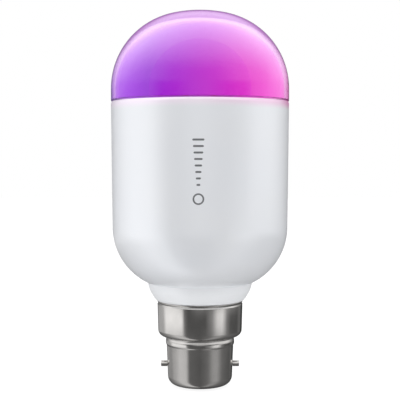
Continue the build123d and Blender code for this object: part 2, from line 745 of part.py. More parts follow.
with BuildPart() as inner_diffuser:
    with BuildSketch(Plane.XZ):
        with BuildLine():
            Polyline(
                (inner_bore_r, SHEET_TOP_Z),
                (INNER_FLANGE_R, SHEET_TOP_Z),
                (INNER_FLANGE_R, SHEET_TOP_Z + FLANGE_THICKNESS),
                (INNER_R, SHEET_TOP_Z + FLANGE_THICKNESS),
                (INNER_R, INNER_SPRING_Z),
            )
            CenterArc((0, INNER_SPRING_Z), INNER_R, 0, 90)
            Line((0, INNER_SPRING_Z + INNER_R), (0, INNER_SPRING_Z + inner_bore_r))
            CenterArc((0, INNER_SPRING_Z), inner_bore_r, 90, -90)
            Line((inner_bore_r, INNER_SPRING_Z), (inner_bore_r, SHEET_TOP_Z))
        make_face()
    revolve(axis=Axis.Z)
    with BuildSketch(Plane.XY.offset(POST_FOOT_Z)):
        with PolarLocations(POST_RING_R, 3, POST_ANGLE):
            Circle(POST_R)
    extrude(amount=SHEET_TOP_Z - POST_FOOT_Z)
finish(inner_diffuser, "inner_diffuser")

# The clear outer dome: a straight wall flush with the body, a side arc, and a flatter crown,
# thicker at the crown. Its skirt drops inside the body's rim and holds with six snap lugs.
LEDGE_Z = 97.2
LUG_R = 28.85
LUG_FOOT_Z = 94.0
LUG_TOP_Z = 95.0
LUG_TIP = 0.3
LUG_ROOT_R = 27.7
LUG_WIDTH = 14  # degrees round the axis
bore_r = BODY_R - DOME_WALL


def domed(wall_r, side_r, top_z):
    """The centres of a domed wall's side arc and crown arc, the crown's radius, and the angle
    at which the two arcs meet with one tangent."""
    side = (wall_r - side_r, DOME_SHOULDER_Z)
    rise = top_z - DOME_SHOULDER_Z
    crown_r = (rise**2 + side[0] ** 2 - side_r**2) / (2 * (rise - side_r))
    crown = (0, top_z - crown_r)
    return side, crown, crown_r, degrees(atan2(side[1] - crown[1], side[0]))


side_centre, crown_centre, dome_crown_r, side_turn = domed(BODY_R, DOME_SIDE_R, DOME_TOP_Z)
bore_side, bore_crown, bore_crown_r, bore_turn = domed(
    bore_r, DOME_BORE_SIDE_R, DOME_TOP_Z - DOME_CROWN_WALL
)

with BuildPart() as diffuser_dome:
    with BuildSketch(Plane.XZ):
        with BuildLine():
            Polyline(
                (SKIRT_INNER_R, SKIRT_FOOT_Z),
                (SKIRT_R, SKIRT_FOOT_Z),
                (SKIRT_R, SEAM_Z),
                (BODY_R - RIM_STEP, SEAM_Z),
                (BODY_R, SEAM_Z + RIM_STEP),
                (BODY_R, DOME_SHOULDER_Z),
            )
            CenterArc(side_centre, DOME_SIDE_R, 0, side_turn)
            CenterArc(crown_centre, dome_crown_r, side_turn, 90 - side_turn)
            Line((0, DOME_TOP_Z), (0, DOME_TOP_Z - DOME_CROWN_WALL))
            CenterArc(bore_crown, bore_crown_r, 90, bore_turn - 90)
            CenterArc(bore_side, DOME_BORE_SIDE_R, bore_turn, -bore_turn)
            Polyline(
                (bore_r, DOME_SHOULDER_Z),
                (bore_r, LEDGE_Z),
                (SKIRT_INNER_R, LEDGE_Z),
                (SKIRT_INNER_R, SKIRT_FOOT_Z),
            )
        make_face()
    revolve(axis=Axis.Z)
    for index in range(LUG_COUNT):
        turn = index * 360 / LUG_COUNT
        with BuildSketch(Plane.XZ.rotated((0, 0, turn - LUG_WIDTH / 2))):
            with BuildLine():
                Polyline(
                    (LUG_ROOT_R, LUG_TOP_Z),
                    (LUG_R, LUG_TOP_Z),
                    (LUG_R, LUG_TOP_Z - LUG_TIP),
                    (SKIRT_R, LUG_FOOT_Z),
                    (LUG_ROOT_R, LUG_FOOT_Z),
                    close=True,
                )
            make_face()
        revolve(axis=Axis.Z, revolution_arc=LUG_WIDTH)
finish(diffuser_dome, "diffuser_dome")

# The opal liner stands on the dome's ledge, just inside its wall, and spreads the light.
liner_outer = LINER_GAP
liner_inner = LINER_GAP + LINER_WALL

with BuildPart() as diffuser_liner:
    with BuildSketch(Plane.XZ):
        with BuildLine():
            Line((bore_r - liner_outer, LINER_FOOT_Z), (bore_r - liner_outer, DOME_SHOULDER_Z))
            CenterArc(bore_side, DOME_BORE_SIDE_R - liner_outer, 0, bore_turn)
            CenterArc(bore_crown, bore_crown_r - liner_outer, bore_turn, 90 - bore_turn)
            Line(
                (0, bore_crown[1] + bore_crown_r - liner_outer),
                (0, bore_crown[1] + bore_crown_r - liner_inner),
            )
            CenterArc(bore_crown, bore_crown_r - liner_inner, 90, bore_turn - 90)
            CenterArc(bore_side, DOME_BORE_SIDE_R - liner_inner, bore_turn, -bore_turn)
            Polyline(
                (bore_r - liner_inner, DOME_SHOULDER_Z),
                (bore_r - liner_inner, LINER_FOOT_Z),
                (bore_r - liner_outer, LINER_FOOT_Z),
            )
        make_face()
    revolve(axis=Axis.Z)
finish(diffuser_liner, "diffuser_liner")

# A silicone ring under the skirt keeps moisture out of the lamp.
SEAL_INNER_R = 27.2
SEAL_R = 28.1
SEAL_EDGE_R = 0.2

with BuildPart() as diffuser_seal:
    with BuildSketch(Plane.XY.offset(SINK_TOP_Z)):
        Circle(SEAL_R)
        Circle(SEAL_INNER_R, mode=Mode.SUBTRACT)
    extrude(amount=SKIRT_FOOT_Z - SINK_TOP_Z)
    fillet(diffuser_seal.edges().filter_by(GeomType.CIRCLE).group_by(Axis.Z)[-1], SEAL_EDGE_R)
finish(diffuser_seal, "diffuser_seal")

# ---------------------------------------------------------------- driver housing

# A flask-shaped plastic housing insulates the driver from the metal parts. Its neck reaches
# down into the cap, two pairs of ribs hold the board's edges, and three bosses take the screws.
RIB_FROM_X = 16.2
RIB_TO_X = 19.2
RIB_THICKNESS = 1.1
RIB_CLEARANCE = 0.1
RIB_TOP_Z = 85.0
PILOT_FOOT_Z = 83.5
LID_CLEARANCE = 0.2

with BuildPart() as driver_housing:
    with BuildSketch(Plane.XZ):
        with BuildLine():
            Polyline(
                (HOUSING_NECK_R - HOUSING_WALL, HOUSING_FOOT_Z),
                (HOUSING_NECK_R, HOUSING_FOOT_Z),
                (HOUSING_NECK_R, HOUSING_CONE_Z),
                (HOUSING_R, HOUSING_BODY_Z),
                (HOUSING_R, HOUSING_TOP_Z),
                (HOUSING_R - HOUSING_WALL, HOUSING_TOP_Z),
                (HOUSING_R - HOUSING_WALL, HOUSING_BODY_Z + HOUSING_WALL / 2),
                (HOUSING_NECK_R - HOUSING_WALL, HOUSING_CONE_Z + HOUSING_WALL / 2),
                close=True,
            )
        make_face()
    revolve(axis=Axis.Z)
    for rib_y in (
        DRIVER_Y - RIB_CLEARANCE - RIB_THICKNESS / 2,
        DRIVER_BACK_Y + RIB_CLEARANCE + RIB_THICKNESS / 2,
    ):
        for side in (-1, 1):
            with BuildSketch(Plane.XY.offset(DRIVER_MAIN_Z)):
                with Locations((side * (RIB_FROM_X + RIB_TO_X) / 2, rib_y)):
                    Rectangle(RIB_TO_X - RIB_FROM_X, RIB_THICKNESS)
                Circle(HOUSING_R - HOUSING_WALL / 2, mode=Mode.INTERSECT)
            extrude(amount=RIB_TOP_Z - DRIVER_MAIN_Z)
    with BuildSketch(Plane.XY.offset(BOSS_FOOT_Z)):
        with PolarLocations(WHITE_RING_R, 3, SCREW_ANGLE):
            Circle(BOSS_R)
        Circle(HOUSING_R - HOUSING_WALL, mode=Mode.SUBTRACT)
    extrude(amount=SPREADER_Z - BOSS_FOOT_Z)
    with BuildSketch(Plane.XY.offset(PILOT_FOOT_Z)):
        with PolarLocations(WHITE_RING_R, 3, SCREW_ANGLE):
            Circle(SCREW_R + FIT)
    extrude(amount=SPREADER_Z - PILOT_FOOT_Z, mode=Mode.SUBTRACT)
finish(driver_housing, "driver_housing")

# The lid closes the housing under the spreader, notched round the bosses, with a ring that
# plugs into the mouth.
PLUG_HEIGHT = 1.8
PLUG_WALL = 1.0
PLUG_CLEARANCE = 0.1
plug_r = HOUSING_R - HOUSING_WALL - PLUG_CLEARANCE

with BuildPart() as housing_lid:
    with BuildSketch(Plane.XY.offset(HOUSING_TOP_Z)):
        Circle(HOUSING_R)
        cut_slots()
        with PolarLocations(WHITE_RING_R, 3, SCREW_ANGLE):
            Circle(BOSS_R + LID_CLEARANCE, mode=Mode.SUBTRACT)
    extrude(amount=LID_THICKNESS)
    with BuildSketch(Plane.XY.offset(HOUSING_TOP_Z)):
        Circle(plug_r)
        Circle(plug_r - PLUG_WALL, mode=Mode.SUBTRACT)
        with PolarLocations(WHITE_RING_R, 3, SCREW_ANGLE):
            Circle(BOSS_R + LID_CLEARANCE, mode=Mode.SUBTRACT)
    extrude(amount=-PLUG_HEIGHT)
finish(housing_lid, "housing_lid")

# ---------------------------------------------------------------- driver board

VARISTOR_LEAD = 2.5
FILM_LEAD = 3.75
BULK_LEAD = 2.5
OUTPUT_LEAD = 1.75
CHOKE_LEAD = 2.0
FUSE_LEAD = 5.6
BOBBIN_PIN_Z = 5.2
BOBBIN_PIN_PITCH = 2.6
bobbin_pin_places = [BOBBIN_PIN_PITCH * step for step in (-1.5, -0.5, 0.5, 1.5)]

component_leads_at = []
for centre, reach in (
    (VARISTOR, VARISTOR_LEAD),
    (FILM_CAPACITOR, FILM_LEAD),
    (BULK_CAPACITOR, BULK_LEAD),
    (OUTPUT_CAPACITOR, OUTPUT_LEAD),
    (CHOKE, CHOKE_LEAD),
):
    component_leads_at.append((centre[0] - reach, centre[1]))
    component_leads_at.append((centre[0] + reach, centre[1]))
for place in bobbin_pin_places:
    component_leads_at.append((TRANSFORMER[0] + place, TRANSFORMER[1] - BOBBIN_PIN_Z))
    component_leads_at.append((TRANSFORMER[0] + place, TRANSFORMER[1] + BOBBIN_PIN_Z))
fuse_leads_at = [(FUSE[0], FUSE[1] - FUSE_LEAD), (FUSE[0], FUSE[1] + FUSE_LEAD)]
mains_leads_at = [(MAINS_X, MAINS_Z), (-MAINS_X, MAINS_Z)]
header_leads_at = [(place, RADIO_HEADER_Z) for place in header_places]
round_leads_at = component_leads_at + fuse_leads_at + mains_leads_at

# The board is a spade: a narrow tail in the housing's neck and a wide head above it.
with BuildPart() as driver_board:
    with BuildSketch(Plane.XZ.offset(-DRIVER_Y)):
        with BuildLine():
            Polyline(
                (-DRIVER_TAIL_HALF, DRIVER_FOOT_Z),
                (DRIVER_TAIL_HALF, DRIVER_FOOT_Z),
                (DRIVER_TAIL_HALF, DRIVER_TAIL_Z),
                (DRIVER_MAIN_HALF, DRIVER_MAIN_Z),
                (DRIVER_MAIN_HALF, DRIVER_TOP_Z),
                (-DRIVER_MAIN_HALF, DRIVER_TOP_Z),
                (-DRIVER_MAIN_HALF, DRIVER_MAIN_Z),
                (-DRIVER_TAIL_HALF, DRIVER_TAIL_Z),
                close=True,
            )
        make_face()
        with Locations(round_leads_at):
            Circle(LEAD_HOLE_R, mode=Mode.SUBTRACT)
        with Locations(header_leads_at):
            Circle(HEADER_HOLE_R, mode=Mode.SUBTRACT)
    extrude(amount=-DRIVER_THICKNESS)
finish(driver_board, "driver_board")


def in_front(depth):
    """A plane parallel to the driver board, a depth in front of its component side."""
    return Plane.XZ.offset(depth - DRIVER_Y)


CRIMP_SHARE = 0.07  # depth of the crimp groove, as a share of the can's radius
CRIMP_FROM = 2.0


def electrolytic(radius, length, centre):
    """A radial capacitor: a sleeved can with the crimp groove near its foot, on the board."""
    plane = Plane(origin=(centre[0], DRIVER_Y, centre[1]), x_dir=(1, 0, 0), z_dir=(0, 0, 1))
    groove = CRIMP_SHARE * radius
    with BuildPart() as can:
        with BuildSketch(plane):
            with BuildLine():
                Polyline(
                    (0, -FOOT_GAP),
                    (radius - groove, -FOOT_GAP),
                    (radius, -FOOT_GAP - groove),
                    (radius, -CRIMP_FROM),
                    (radius - groove, -CRIMP_FROM - groove),
                    (radius, -CRIMP_FROM - 2 * groove),
                    (radius, groove - length),
                    (radius - groove, -length),
                    (0, -length),
                    close=True,
                )
            make_face()
        revolve(axis=Axis((centre[0], 0, centre[1]), (0, 1, 0)))
    return can


BULK_SIZE = (6.25, 16.0)  # radius and length
OUTPUT_SIZE = (4.0, 12.0)
finish(electrolytic(*BULK_SIZE, BULK_CAPACITOR), "bulk_capacitor")
finish(electrolytic(*OUTPUT_SIZE, OUTPUT_CAPACITOR), "output_capacitor")

# Fusible resistor: a fat ceramic rod with capped ends, lying along the tail
FUSE_BODY_R = 1.6
FUSE_CAP_R = 1.75
FUSE_CAP_LENGTH = 1.2
FUSE_HALF = 4.2
FUSE_OFF_BOARD = 2.0
FUSE_EDGE_R = 0.4
fuse_y = DRIVER_Y - FUSE_OFF_BOARD

with BuildPart() as fuse_resistor:
    with Locations((FUSE[0], fuse_y, FUSE[1])):
        Cylinder(FUSE_BODY_R, 2 * FUSE_HALF)
    with Locations(
        (FUSE[0], fuse_y, FUSE[1] + FUSE_HALF - FUSE_CAP_LENGTH / 2),
        (FUSE[0], fuse_y, FUSE[1] - FUSE_HALF + FUSE_CAP_LENGTH / 2),
    ):
        Cylinder(FUSE_CAP_R, FUSE_CAP_LENGTH)
    fillet(fuse_resistor.edges().filter_by(GeomType.CIRCLE).group_by(Axis.Z)[-1], FUSE_EDGE_R)
    fillet(fuse_resistor.edges().filter_by(GeomType.CIRCLE).group_by(Axis.Z)[0], FUSE_EDGE_R)
finish(fuse_resistor, "fuse_resistor")

# Varistor: a coated disc lying close to the board
VARISTOR_R = 3.5
VARISTOR_THICKNESS = 3.0
VARISTOR_EDGE_R = 1.0

with BuildPart() as varistor:
    with BuildSketch(in_front(FOOT_GAP)):
        with Locations(VARISTOR):
            Circle(VARISTOR_R)
    extrude(amount=VARISTOR_THICKNESS)
    fillet(varistor.edges(), VARISTOR_EDGE_R)
finish(varistor, "varistor")

# Film capacitor: a potted box across the mains
FILM_SIZE = (10.0, 7.6, 5.4)  # wide, high, off the board
FILM_EDGE_R = 0.4
FILM_CORNER_R = 0.5

with BuildPart() as film_capacitor:
    with BuildSketch(in_front(FOOT_GAP)):
        with Locations(FILM_CAPACITOR):
            Rectangle(FILM_SIZE[0], FILM_SIZE[1])
    extrude(amount=FILM_SIZE[2])
    fillet(film_capacitor.edges().filter_by(Axis.Y), FILM_CORNER_R)
    fillet(film_capacitor.faces().sort_by(Axis.Y)[0].edges(), FILM_EDGE_R)
finish(film_capacitor, "film_capacitor")

# Drum choke: a ferrite bobbin wound with enamelled wire
CHOKE_R = 4.0
CHOKE_NECK_R = 2.0
CHOKE_LENGTH = 9.0
CHOKE_RIM = 1.3
CHOKE_COIL_R = 3.6

with BuildPart() as choke_core:
    with BuildSketch(in_front(FOOT_GAP)):
        with Locations(CHOKE):
            Circle(CHOKE_R)
    extrude(amount=CHOKE_LENGTH)
    with BuildSketch(in_front(FOOT_GAP + CHOKE_RIM)):
        with Locations(CHOKE):
            Circle(CHOKE_R)
            Circle(CHOKE_NECK_R, mode=Mode.SUBTRACT)
    extrude(amount=CHOKE_LENGTH - 2 * CHOKE_RIM, mode=Mode.SUBTRACT)
finish(choke_core, "choke_core")

with BuildPart() as choke_winding:
    with BuildSketch(in_front(FOOT_GAP + CHOKE_RIM + FIT)):
        with Locations(CHOKE):
            Circle(CHOKE_COIL_R)
            Circle(CHOKE_NECK_R + FIT, mode=Mode.SUBTRACT)
    extrude(amount=CHOKE_LENGTH - 2 * CHOKE_RIM - 2 * FIT)
finish(choke_winding, "choke_winding")

# ---------------------------------------------------------------- transformer

# A ferrite core of two E halves runs through a moulded bobbin, with the taped winding between
# the bobbin's flanges. The core stands off the board on the bobbin's lower flange.
CORE_HALF_WIDTH = 6.5
CORE_LENGTH = 12.0
CORE_HALF_DEPTH = 2.25
YOKE = 2.0
CENTRE_LEG = 1.8
WINDOW_EDGE = 4.6
CORE_OFF_BOARD = 1.6
TUBE_WALL = 0.5
BOBBIN_FLANGE = 0.8
BOBBIN_HALF = (4.5, 6.0)
WINDING_HALF = (4.3, 5.2)
WINDING_CORNER_R = 1.5
window_length = CORE_LENGTH - 2 * YOKE
window_off_board = CORE_OFF_BOARD + YOKE

with BuildPart() as transformer_core:
    with BuildSketch(Plane.XY.offset(TRANSFORMER[1] - CORE_HALF_DEPTH)):
        with Locations((TRANSFORMER[0], DRIVER_Y - CORE_OFF_BOARD - CORE_LENGTH / 2)):
            Rectangle(2 * CORE_HALF_WIDTH, CORE_LENGTH)
            with Locations(
                ((CENTRE_LEG + WINDOW_EDGE) / 2, 0), (-(CENTRE_LEG + WINDOW_EDGE) / 2, 0)
            ):
                Rectangle(WINDOW_EDGE - CENTRE_LEG, window_length, mode=Mode.SUBTRACT)
    extrude(amount=2 * CORE_HALF_DEPTH)
finish(transformer_core, "transformer_core")

tube_half = (CENTRE_LEG + FIT + TUBE_WALL, CORE_HALF_DEPTH + FIT + TUBE_WALL)

with BuildPart() as transformer_bobbin:
    for depth in (window_off_board + FIT, window_off_board + window_length - BOBBIN_FLANGE - FIT):
        with BuildSketch(in_front(depth)):
            with Locations(TRANSFORMER):
                Rectangle(2 * BOBBIN_HALF[0], 2 * BOBBIN_HALF[1])
        extrude(amount=BOBBIN_FLANGE)
    with BuildSketch(in_front(window_off_board + FIT)):
        with Locations(TRANSFORMER):
            Rectangle(2 * tube_half[0], 2 * tube_half[1])
    extrude(amount=window_length - 2 * FIT)
    # Feet above and below the core that carry the pins down to the board
    for side in (-1, 1):
        with BuildSketch(in_front(FOOT_GAP)):
            with Locations((TRANSFORMER[0], TRANSFORMER[1] + side * BOBBIN_PIN_Z)):
                Rectangle(2 * WINDOW_EDGE, 2 * (BOBBIN_HALF[1] - BOBBIN_PIN_Z))
        extrude(amount=window_off_board)
    with BuildSketch(in_front(window_off_board)):
        with Locations(TRANSFORMER):
            Rectangle(2 * (CENTRE_LEG + FIT), 2 * (CORE_HALF_DEPTH + FIT))
    extrude(amount=window_length, mode=Mode.SUBTRACT)
finish(transformer_bobbin, "transformer_bobbin")

with BuildPart() as transformer_winding:
    with BuildSketch(in_front(window_off_board + BOBBIN_FLANGE + 2 * FIT)):
        with Locations(TRANSFORMER):
            RectangleRounded(2 * WINDING_HALF[0], 2 * WINDING_HALF[1], WINDING_CORNER_R)
            Rectangle(2 * (tube_half[0] + FIT), 2 * (tube_half[1] + FIT), mode=Mode.SUBTRACT)
    extrude(amount=window_length - 2 * BOBBIN_FLANGE - 4 * FIT)
finish(transformer_winding, "transformer_winding")

# ---------------------------------------------------------------- leads and solder on the driver

# Tinned leads of the through-hole components, from the component's foot through the board.
# Those of the fusible resistor bend over from its ends.
LEAD_BEND_R = 0.8

with BuildPart() as component_leads:
    with BuildSketch(in_front(FOOT_GAP)):
        with Locations(component_leads_at):
            Circle(LEAD_R)
    extrude(amount=DRIVER_Y - FOOT_GAP - LEAD_END_Y)
    for side in (-1, 1):
        end_z = FUSE[1] + side * FUSE_HALF
        pin_z = FUSE[1] + side * FUSE_LEAD
        with BuildLine() as bent_lead:
            FilletPolyline(
                (FUSE[0], fuse_y, end_z),
                (FUSE[0], fuse_y, pin_z),
                (FUSE[0], LEAD_END_Y, pin_z),
                radius=LEAD_BEND_R,
            )
        with BuildSketch(Plane(origin=(FUSE[0], fuse_y, end_z), z_dir=(0, 0, side))):
            Circle(LEAD_R)
        sweep(path=bent_lead.line)
finish(component_leads, "component_leads")


# A low cone of solder on the board's back rings each lead and each header pin.
SOLDER_R = 0.8
SOLDER_HEIGHT = 0.6
SOLDER_TAPER = 25

with BuildPart() as driver_solder:
    with BuildSketch(Plane.XZ.offset(-DRIVER_BACK_Y)):
        with Locations(round_leads_at + header_leads_at):
            Circle(SOLDER_R)
    extrude(amount=-SOLDER_HEIGHT, taper=SOLDER_TAPER)
    with BuildSketch(Plane.XZ.offset(-DRIVER_BACK_Y)):
        with Locations(round_leads_at):
            Circle(LEAD_R + FIT)
        with Locations(header_leads_at):
            Rectangle(PIN_SIDE + 2 * FIT, PIN_SIDE + 2 * FIT)
    extrude(amount=-SOLDER_HEIGHT, mode=Mode.SUBTRACT)
finish(driver_solder, "driver_solder")

# ---------------------------------------------------------------- surface-mounted parts

# All of these sit on the back of the driver board. Each is (x, z, wide, high, off the board).
PACKAGE_CORNER = 0.08  # corner radius, as a share of the shorter side
PACKAGE_DRAFT = 4


def chip_group(chips, label):
    """Write one node of moulded packages on the driver board's back face."""
    with BuildPart() as group:
        for chip_x, chip_z, wide, high, deep in chips:
            with BuildSketch(Plane.XZ.offset(-DRIVER_BACK_Y)):
                with Locations((chip_x, chip_z)):
                    RectangleRounded(wide, high, PACKAGE_CORNER * min(wide, high))
            extrude(amount=-deep, taper=PACKAGE_DRAFT)
    finish(group, label)


chip_group([(0.0, 29.5, 4.7, 4.0, 1.6)], "bridge_rectifier")
chip_group([(0.0, 62.5, 5.0, 4.0, 1.5)], "driver_chip")
chip_group([(10.5, 66.5, 4.4, 2.6, 2.1)], "output_diode")
chip_group([(place, 79.5, 2.9, 1.4, 1.1) for place in (-9.0, -4.5, 0.0, 4.5, 9.0)], "led_switches")
resistors = [(place, 75.5, 0.8, 1.6, 0.5) for place in (-9.0, -4.5, 0.0, 4.5, 9.0)]
resistors += [(place, 56.0, 1.6, 0.8, 0.5) for place in (-3.0, 0.0, 3.0)]
resistors += [(place, 39.5, 1.6, 0.8, 0.5) for place in (-4.5, -1.5, 1.5, 4.5)]
chip_group(resistors, "chip_resistors")

# ---------------------------------------------------------------- mains leads

# Two insulated wires run from the contact eyelets to the foot of the driver board, where the
# stripped ends bend into its holes. Each short run of wire bends twice.
WIRE_R = 0.3
SLEEVE_R = 0.8
SLEEVE_BORE_R = WIRE_R + FIT
WIRE_GAP = 0.1  # each wire starts this far above the solder, and its sleeve above the eyelet
WIRE_FOOT_Z = SOLDER_TOP_Z + WIRE_GAP
SLEEVE_FOOT_Z = EYELET_TOP_Z + WIRE_GAP
WIRE_KNEE_Z = 9.5
WIRE_ELBOW_Z = 16.5
WIRE_Y = 3.9
SLEEVE_TOP_Z = 20.3
WIRE_BEND_R = 2.0
WIRE_END_BEND_R = 1.2


def wire_route(side, from_z, ending):
    """The route of one wire: up from its eyelet, across, and up in front of the board."""
    points = [
        (0, side * CONTACT_Y, from_z),
        (0, side * CONTACT_Y, WIRE_KNEE_Z),
        (side * MAINS_X, WIRE_Y, WIRE_ELBOW_Z),
    ]
    return points + [(side * MAINS_X, y, z) for y, z in ending]


with BuildPart() as mains_conductors:
    for side in (1, -1):
        route = wire_route(side, WIRE_FOOT_Z, [(WIRE_Y, MAINS_Z), (LEAD_END_Y, MAINS_Z)])
        with BuildLine() as path:
            FilletPolyline(*route, radius=[WIRE_BEND_R, WIRE_BEND_R, WIRE_END_BEND_R])
        with BuildSketch(Plane.XY.offset(WIRE_FOOT_Z)):
            with Locations((0, side * CONTACT_Y)):
                Circle(WIRE_R)
        sweep(path=path.line)
finish(mains_conductors, "mains_conductors")

for side, label in ((1, "mains_lead_live"), (-1, "mains_lead_neutral")):
    with BuildPart() as mains_lead:
        route = wire_route(side, SLEEVE_FOOT_Z, [(WIRE_Y, SLEEVE_TOP_Z)])
        with BuildLine() as path:
            FilletPolyline(*route, radius=[WIRE_BEND_R, WIRE_BEND_R])
        with BuildSketch(Plane.XY.offset(SLEEVE_FOOT_Z)):
            with Locations((0, side * CONTACT_Y)):
                Circle(SLEEVE_R)
                Circle(SLEEVE_BORE_R, mode=Mode.SUBTRACT)
        sweep(path=path.line)
    finish(mains_lead, label)

# ---------------------------------------------------------------- radio board and headers

radio_front = Plane.XZ.offset(RADIO_THICKNESS / 2)

with BuildPart() as radio_board:
    with BuildSketch(Plane.XZ.offset(-RADIO_THICKNESS / 2)):
        with Locations((0, (RADIO_FOOT_Z + RADIO_TOP_Z) / 2)):
            Rectangle(2 * RADIO_HALF_WIDTH, RADIO_TOP_Z - RADIO_FOOT_Z)
        with Locations(header_leads_at):
            Circle(HEADER_HOLE_R, mode=Mode.SUBTRACT)
    extrude(amount=RADIO_THICKNESS)
finish(radio_board, "radio_board")

# A pressed tin can shields the radio's chips.
SHIELD_SIZE = (12.0, 12.0, 2.2)
SHIELD_Z = 79.5
SHIELD_SHEET = 0.25
SHIELD_CORNER_R = 0.8
SHIELD_EDGE_R = 0.3

with BuildPart() as radio_shield:
    with BuildSketch(radio_front):
        with Locations((0, SHIELD_Z)):
            RectangleRounded(SHIELD_SIZE[0], SHIELD_SIZE[1], SHIELD_CORNER_R)
    extrude(amount=SHIELD_SIZE[2])
    fillet(radio_shield.faces().sort_by(Axis.Y)[0].edges(), SHIELD_EDGE_R)
    offset(amount=-SHIELD_SHEET, openings=radio_shield.faces().sort_by(Axis.Y)[-1])
finish(radio_shield, "radio_shield")

# The radio's chip and its crystal, under the can: (x, z, wide, high, off the board)
RADIO_CHIP = (-1.5, SHIELD_Z, 5.0, 5.0, 0.9)
CRYSTAL = (3.4, 81.0, 2.5, 2.0, 0.6)

with BuildPart() as radio_chips:
    for chip_x, chip_z, wide, high, deep in (RADIO_CHIP, CRYSTAL):
        with BuildSketch(radio_front):
            with Locations((chip_x, chip_z)):
                Rectangle(wide, high)
        extrude(amount=deep)
finish(radio_chips, "radio_chips")

# The printed antenna is a meander of copper at the top of the board, clear of the metal parts.
ANTENNA_FOOT_Z = 96.0
ANTENNA_FEED = 3.0
ANTENNA_TURNS = 4
ANTENNA_PITCH = 1.4
ANTENNA_HALF_WIDTH = 6.0
ANTENNA_LINE = 0.5
COPPER = 0.07
antenna_points = [(0, ANTENNA_FOOT_Z - ANTENNA_FEED)]
for index in range(2 * ANTENNA_TURNS):
    side = 1 if index % 2 else -1
    height = ANTENNA_FOOT_Z + index * ANTENNA_PITCH
    if index == 0:
        antenna_points.append((0, height))
    else:
        antenna_points.append((-side * ANTENNA_HALF_WIDTH, height))
    antenna_points.append((side * ANTENNA_HALF_WIDTH, height))

with BuildPart() as radio_antenna:
    with BuildSketch(radio_front):
        with BuildLine():
            Polyline(*antenna_points)
        trace(line_width=ANTENNA_LINE)
    extrude(amount=COPPER)
finish(radio_antenna, "radio_antenna")

# Square pins join the radio board to the driver board, in a moulded strip between them.
STRIP_HEIGHT = 2.0
STRIP_HALF = HEADER_PITCH * HEADER_PINS / 2
RADIO_PIN_START = -RADIO_THICKNESS / 2 - LEAD_PROUD

with BuildPart() as radio_header:
    with BuildSketch(Plane.XZ.offset(-RADIO_THICKNESS / 2 - FIT)):
        with Locations((0, RADIO_HEADER_Z)):
            Rectangle(2 * STRIP_HALF, STRIP_HEIGHT)
        with Locations(header_leads_at):
            Rectangle(PIN_SIDE + 2 * FIT, PIN_SIDE + 2 * FIT, mode=Mode.SUBTRACT)
    extrude(amount=-STRIP_HEIGHT)
finish(radio_header, "radio_header")

# Another strip stands on the top edge of the driver board, and its pins rise through the lid
# and the spreader to the LED board.
LED_STRIP_Z = DRIVER_TOP_Z + FIT
LED_PIN_FOOT_Z = 82.5
LED_PIN_TOP_Z = LED_FACE_Z + LEAD_PROUD
led_pins_at = [(place, LED_HEADER_Y) for place in header_places]

with BuildPart() as led_header:
    with BuildSketch(Plane.XY.offset(LED_STRIP_Z)):
        with Locations((0, LED_HEADER_Y)):
            Rectangle(2 * STRIP_HALF, STRIP_HEIGHT)
        with Locations(led_pins_at):
            Rectangle(PIN_SIDE + 2 * FIT, PIN_SIDE + 2 * FIT, mode=Mode.SUBTRACT)
    extrude(amount=STRIP_HEIGHT)
finish(led_header, "led_header")

with BuildPart() as header_pins:
    with BuildSketch(Plane.XZ.offset(-RADIO_PIN_START)):
        with Locations(header_leads_at):
            Rectangle(PIN_SIDE, PIN_SIDE)
    extrude(amount=RADIO_PIN_START - LEAD_END_Y)
    with BuildSketch(Plane.XY.offset(LED_PIN_FOOT_Z)):
        with Locations(led_pins_at):
            Rectangle(PIN_SIDE, PIN_SIDE)
    extrude(amount=LED_PIN_TOP_Z - LED_PIN_FOOT_Z)
finish(header_pins, "header_pins")

# The same solder cones ring the pins on the radio board and on the LED board.
with BuildPart() as header_solder:
    with BuildSketch(radio_front):
        with Locations(header_leads_at):
            Circle(SOLDER_R)
    extrude(amount=SOLDER_HEIGHT, taper=SOLDER_TAPER)
    with BuildSketch(Plane.XY.offset(LED_FACE_Z)):
        with Locations(led_pins_at):
            Circle(SOLDER_R)
    extrude(amount=SOLDER_HEIGHT, taper=SOLDER_TAPER)
    with BuildSketch(radio_front):
        with Locations(header_leads_at):
            Rectangle(PIN_SIDE + 2 * FIT, PIN_SIDE + 2 * FIT)
    extrude(amount=SOLDER_HEIGHT, mode=Mode.SUBTRACT)
    with BuildSketch(Plane.XY.offset(LED_FACE_Z)):
        with Locations(led_pins_at):
            Rectangle(PIN_SIDE + 2 * FIT, PIN_SIDE + 2 * FIT)
    extrude(amount=SOLDER_HEIGHT, mode=Mode.SUBTRACT)
finish(header_solder, "header_solder")
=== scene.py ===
"""A colour-changing LED bulb with a two-pin bayonet cap, dressed for rendering."""

import json
import math

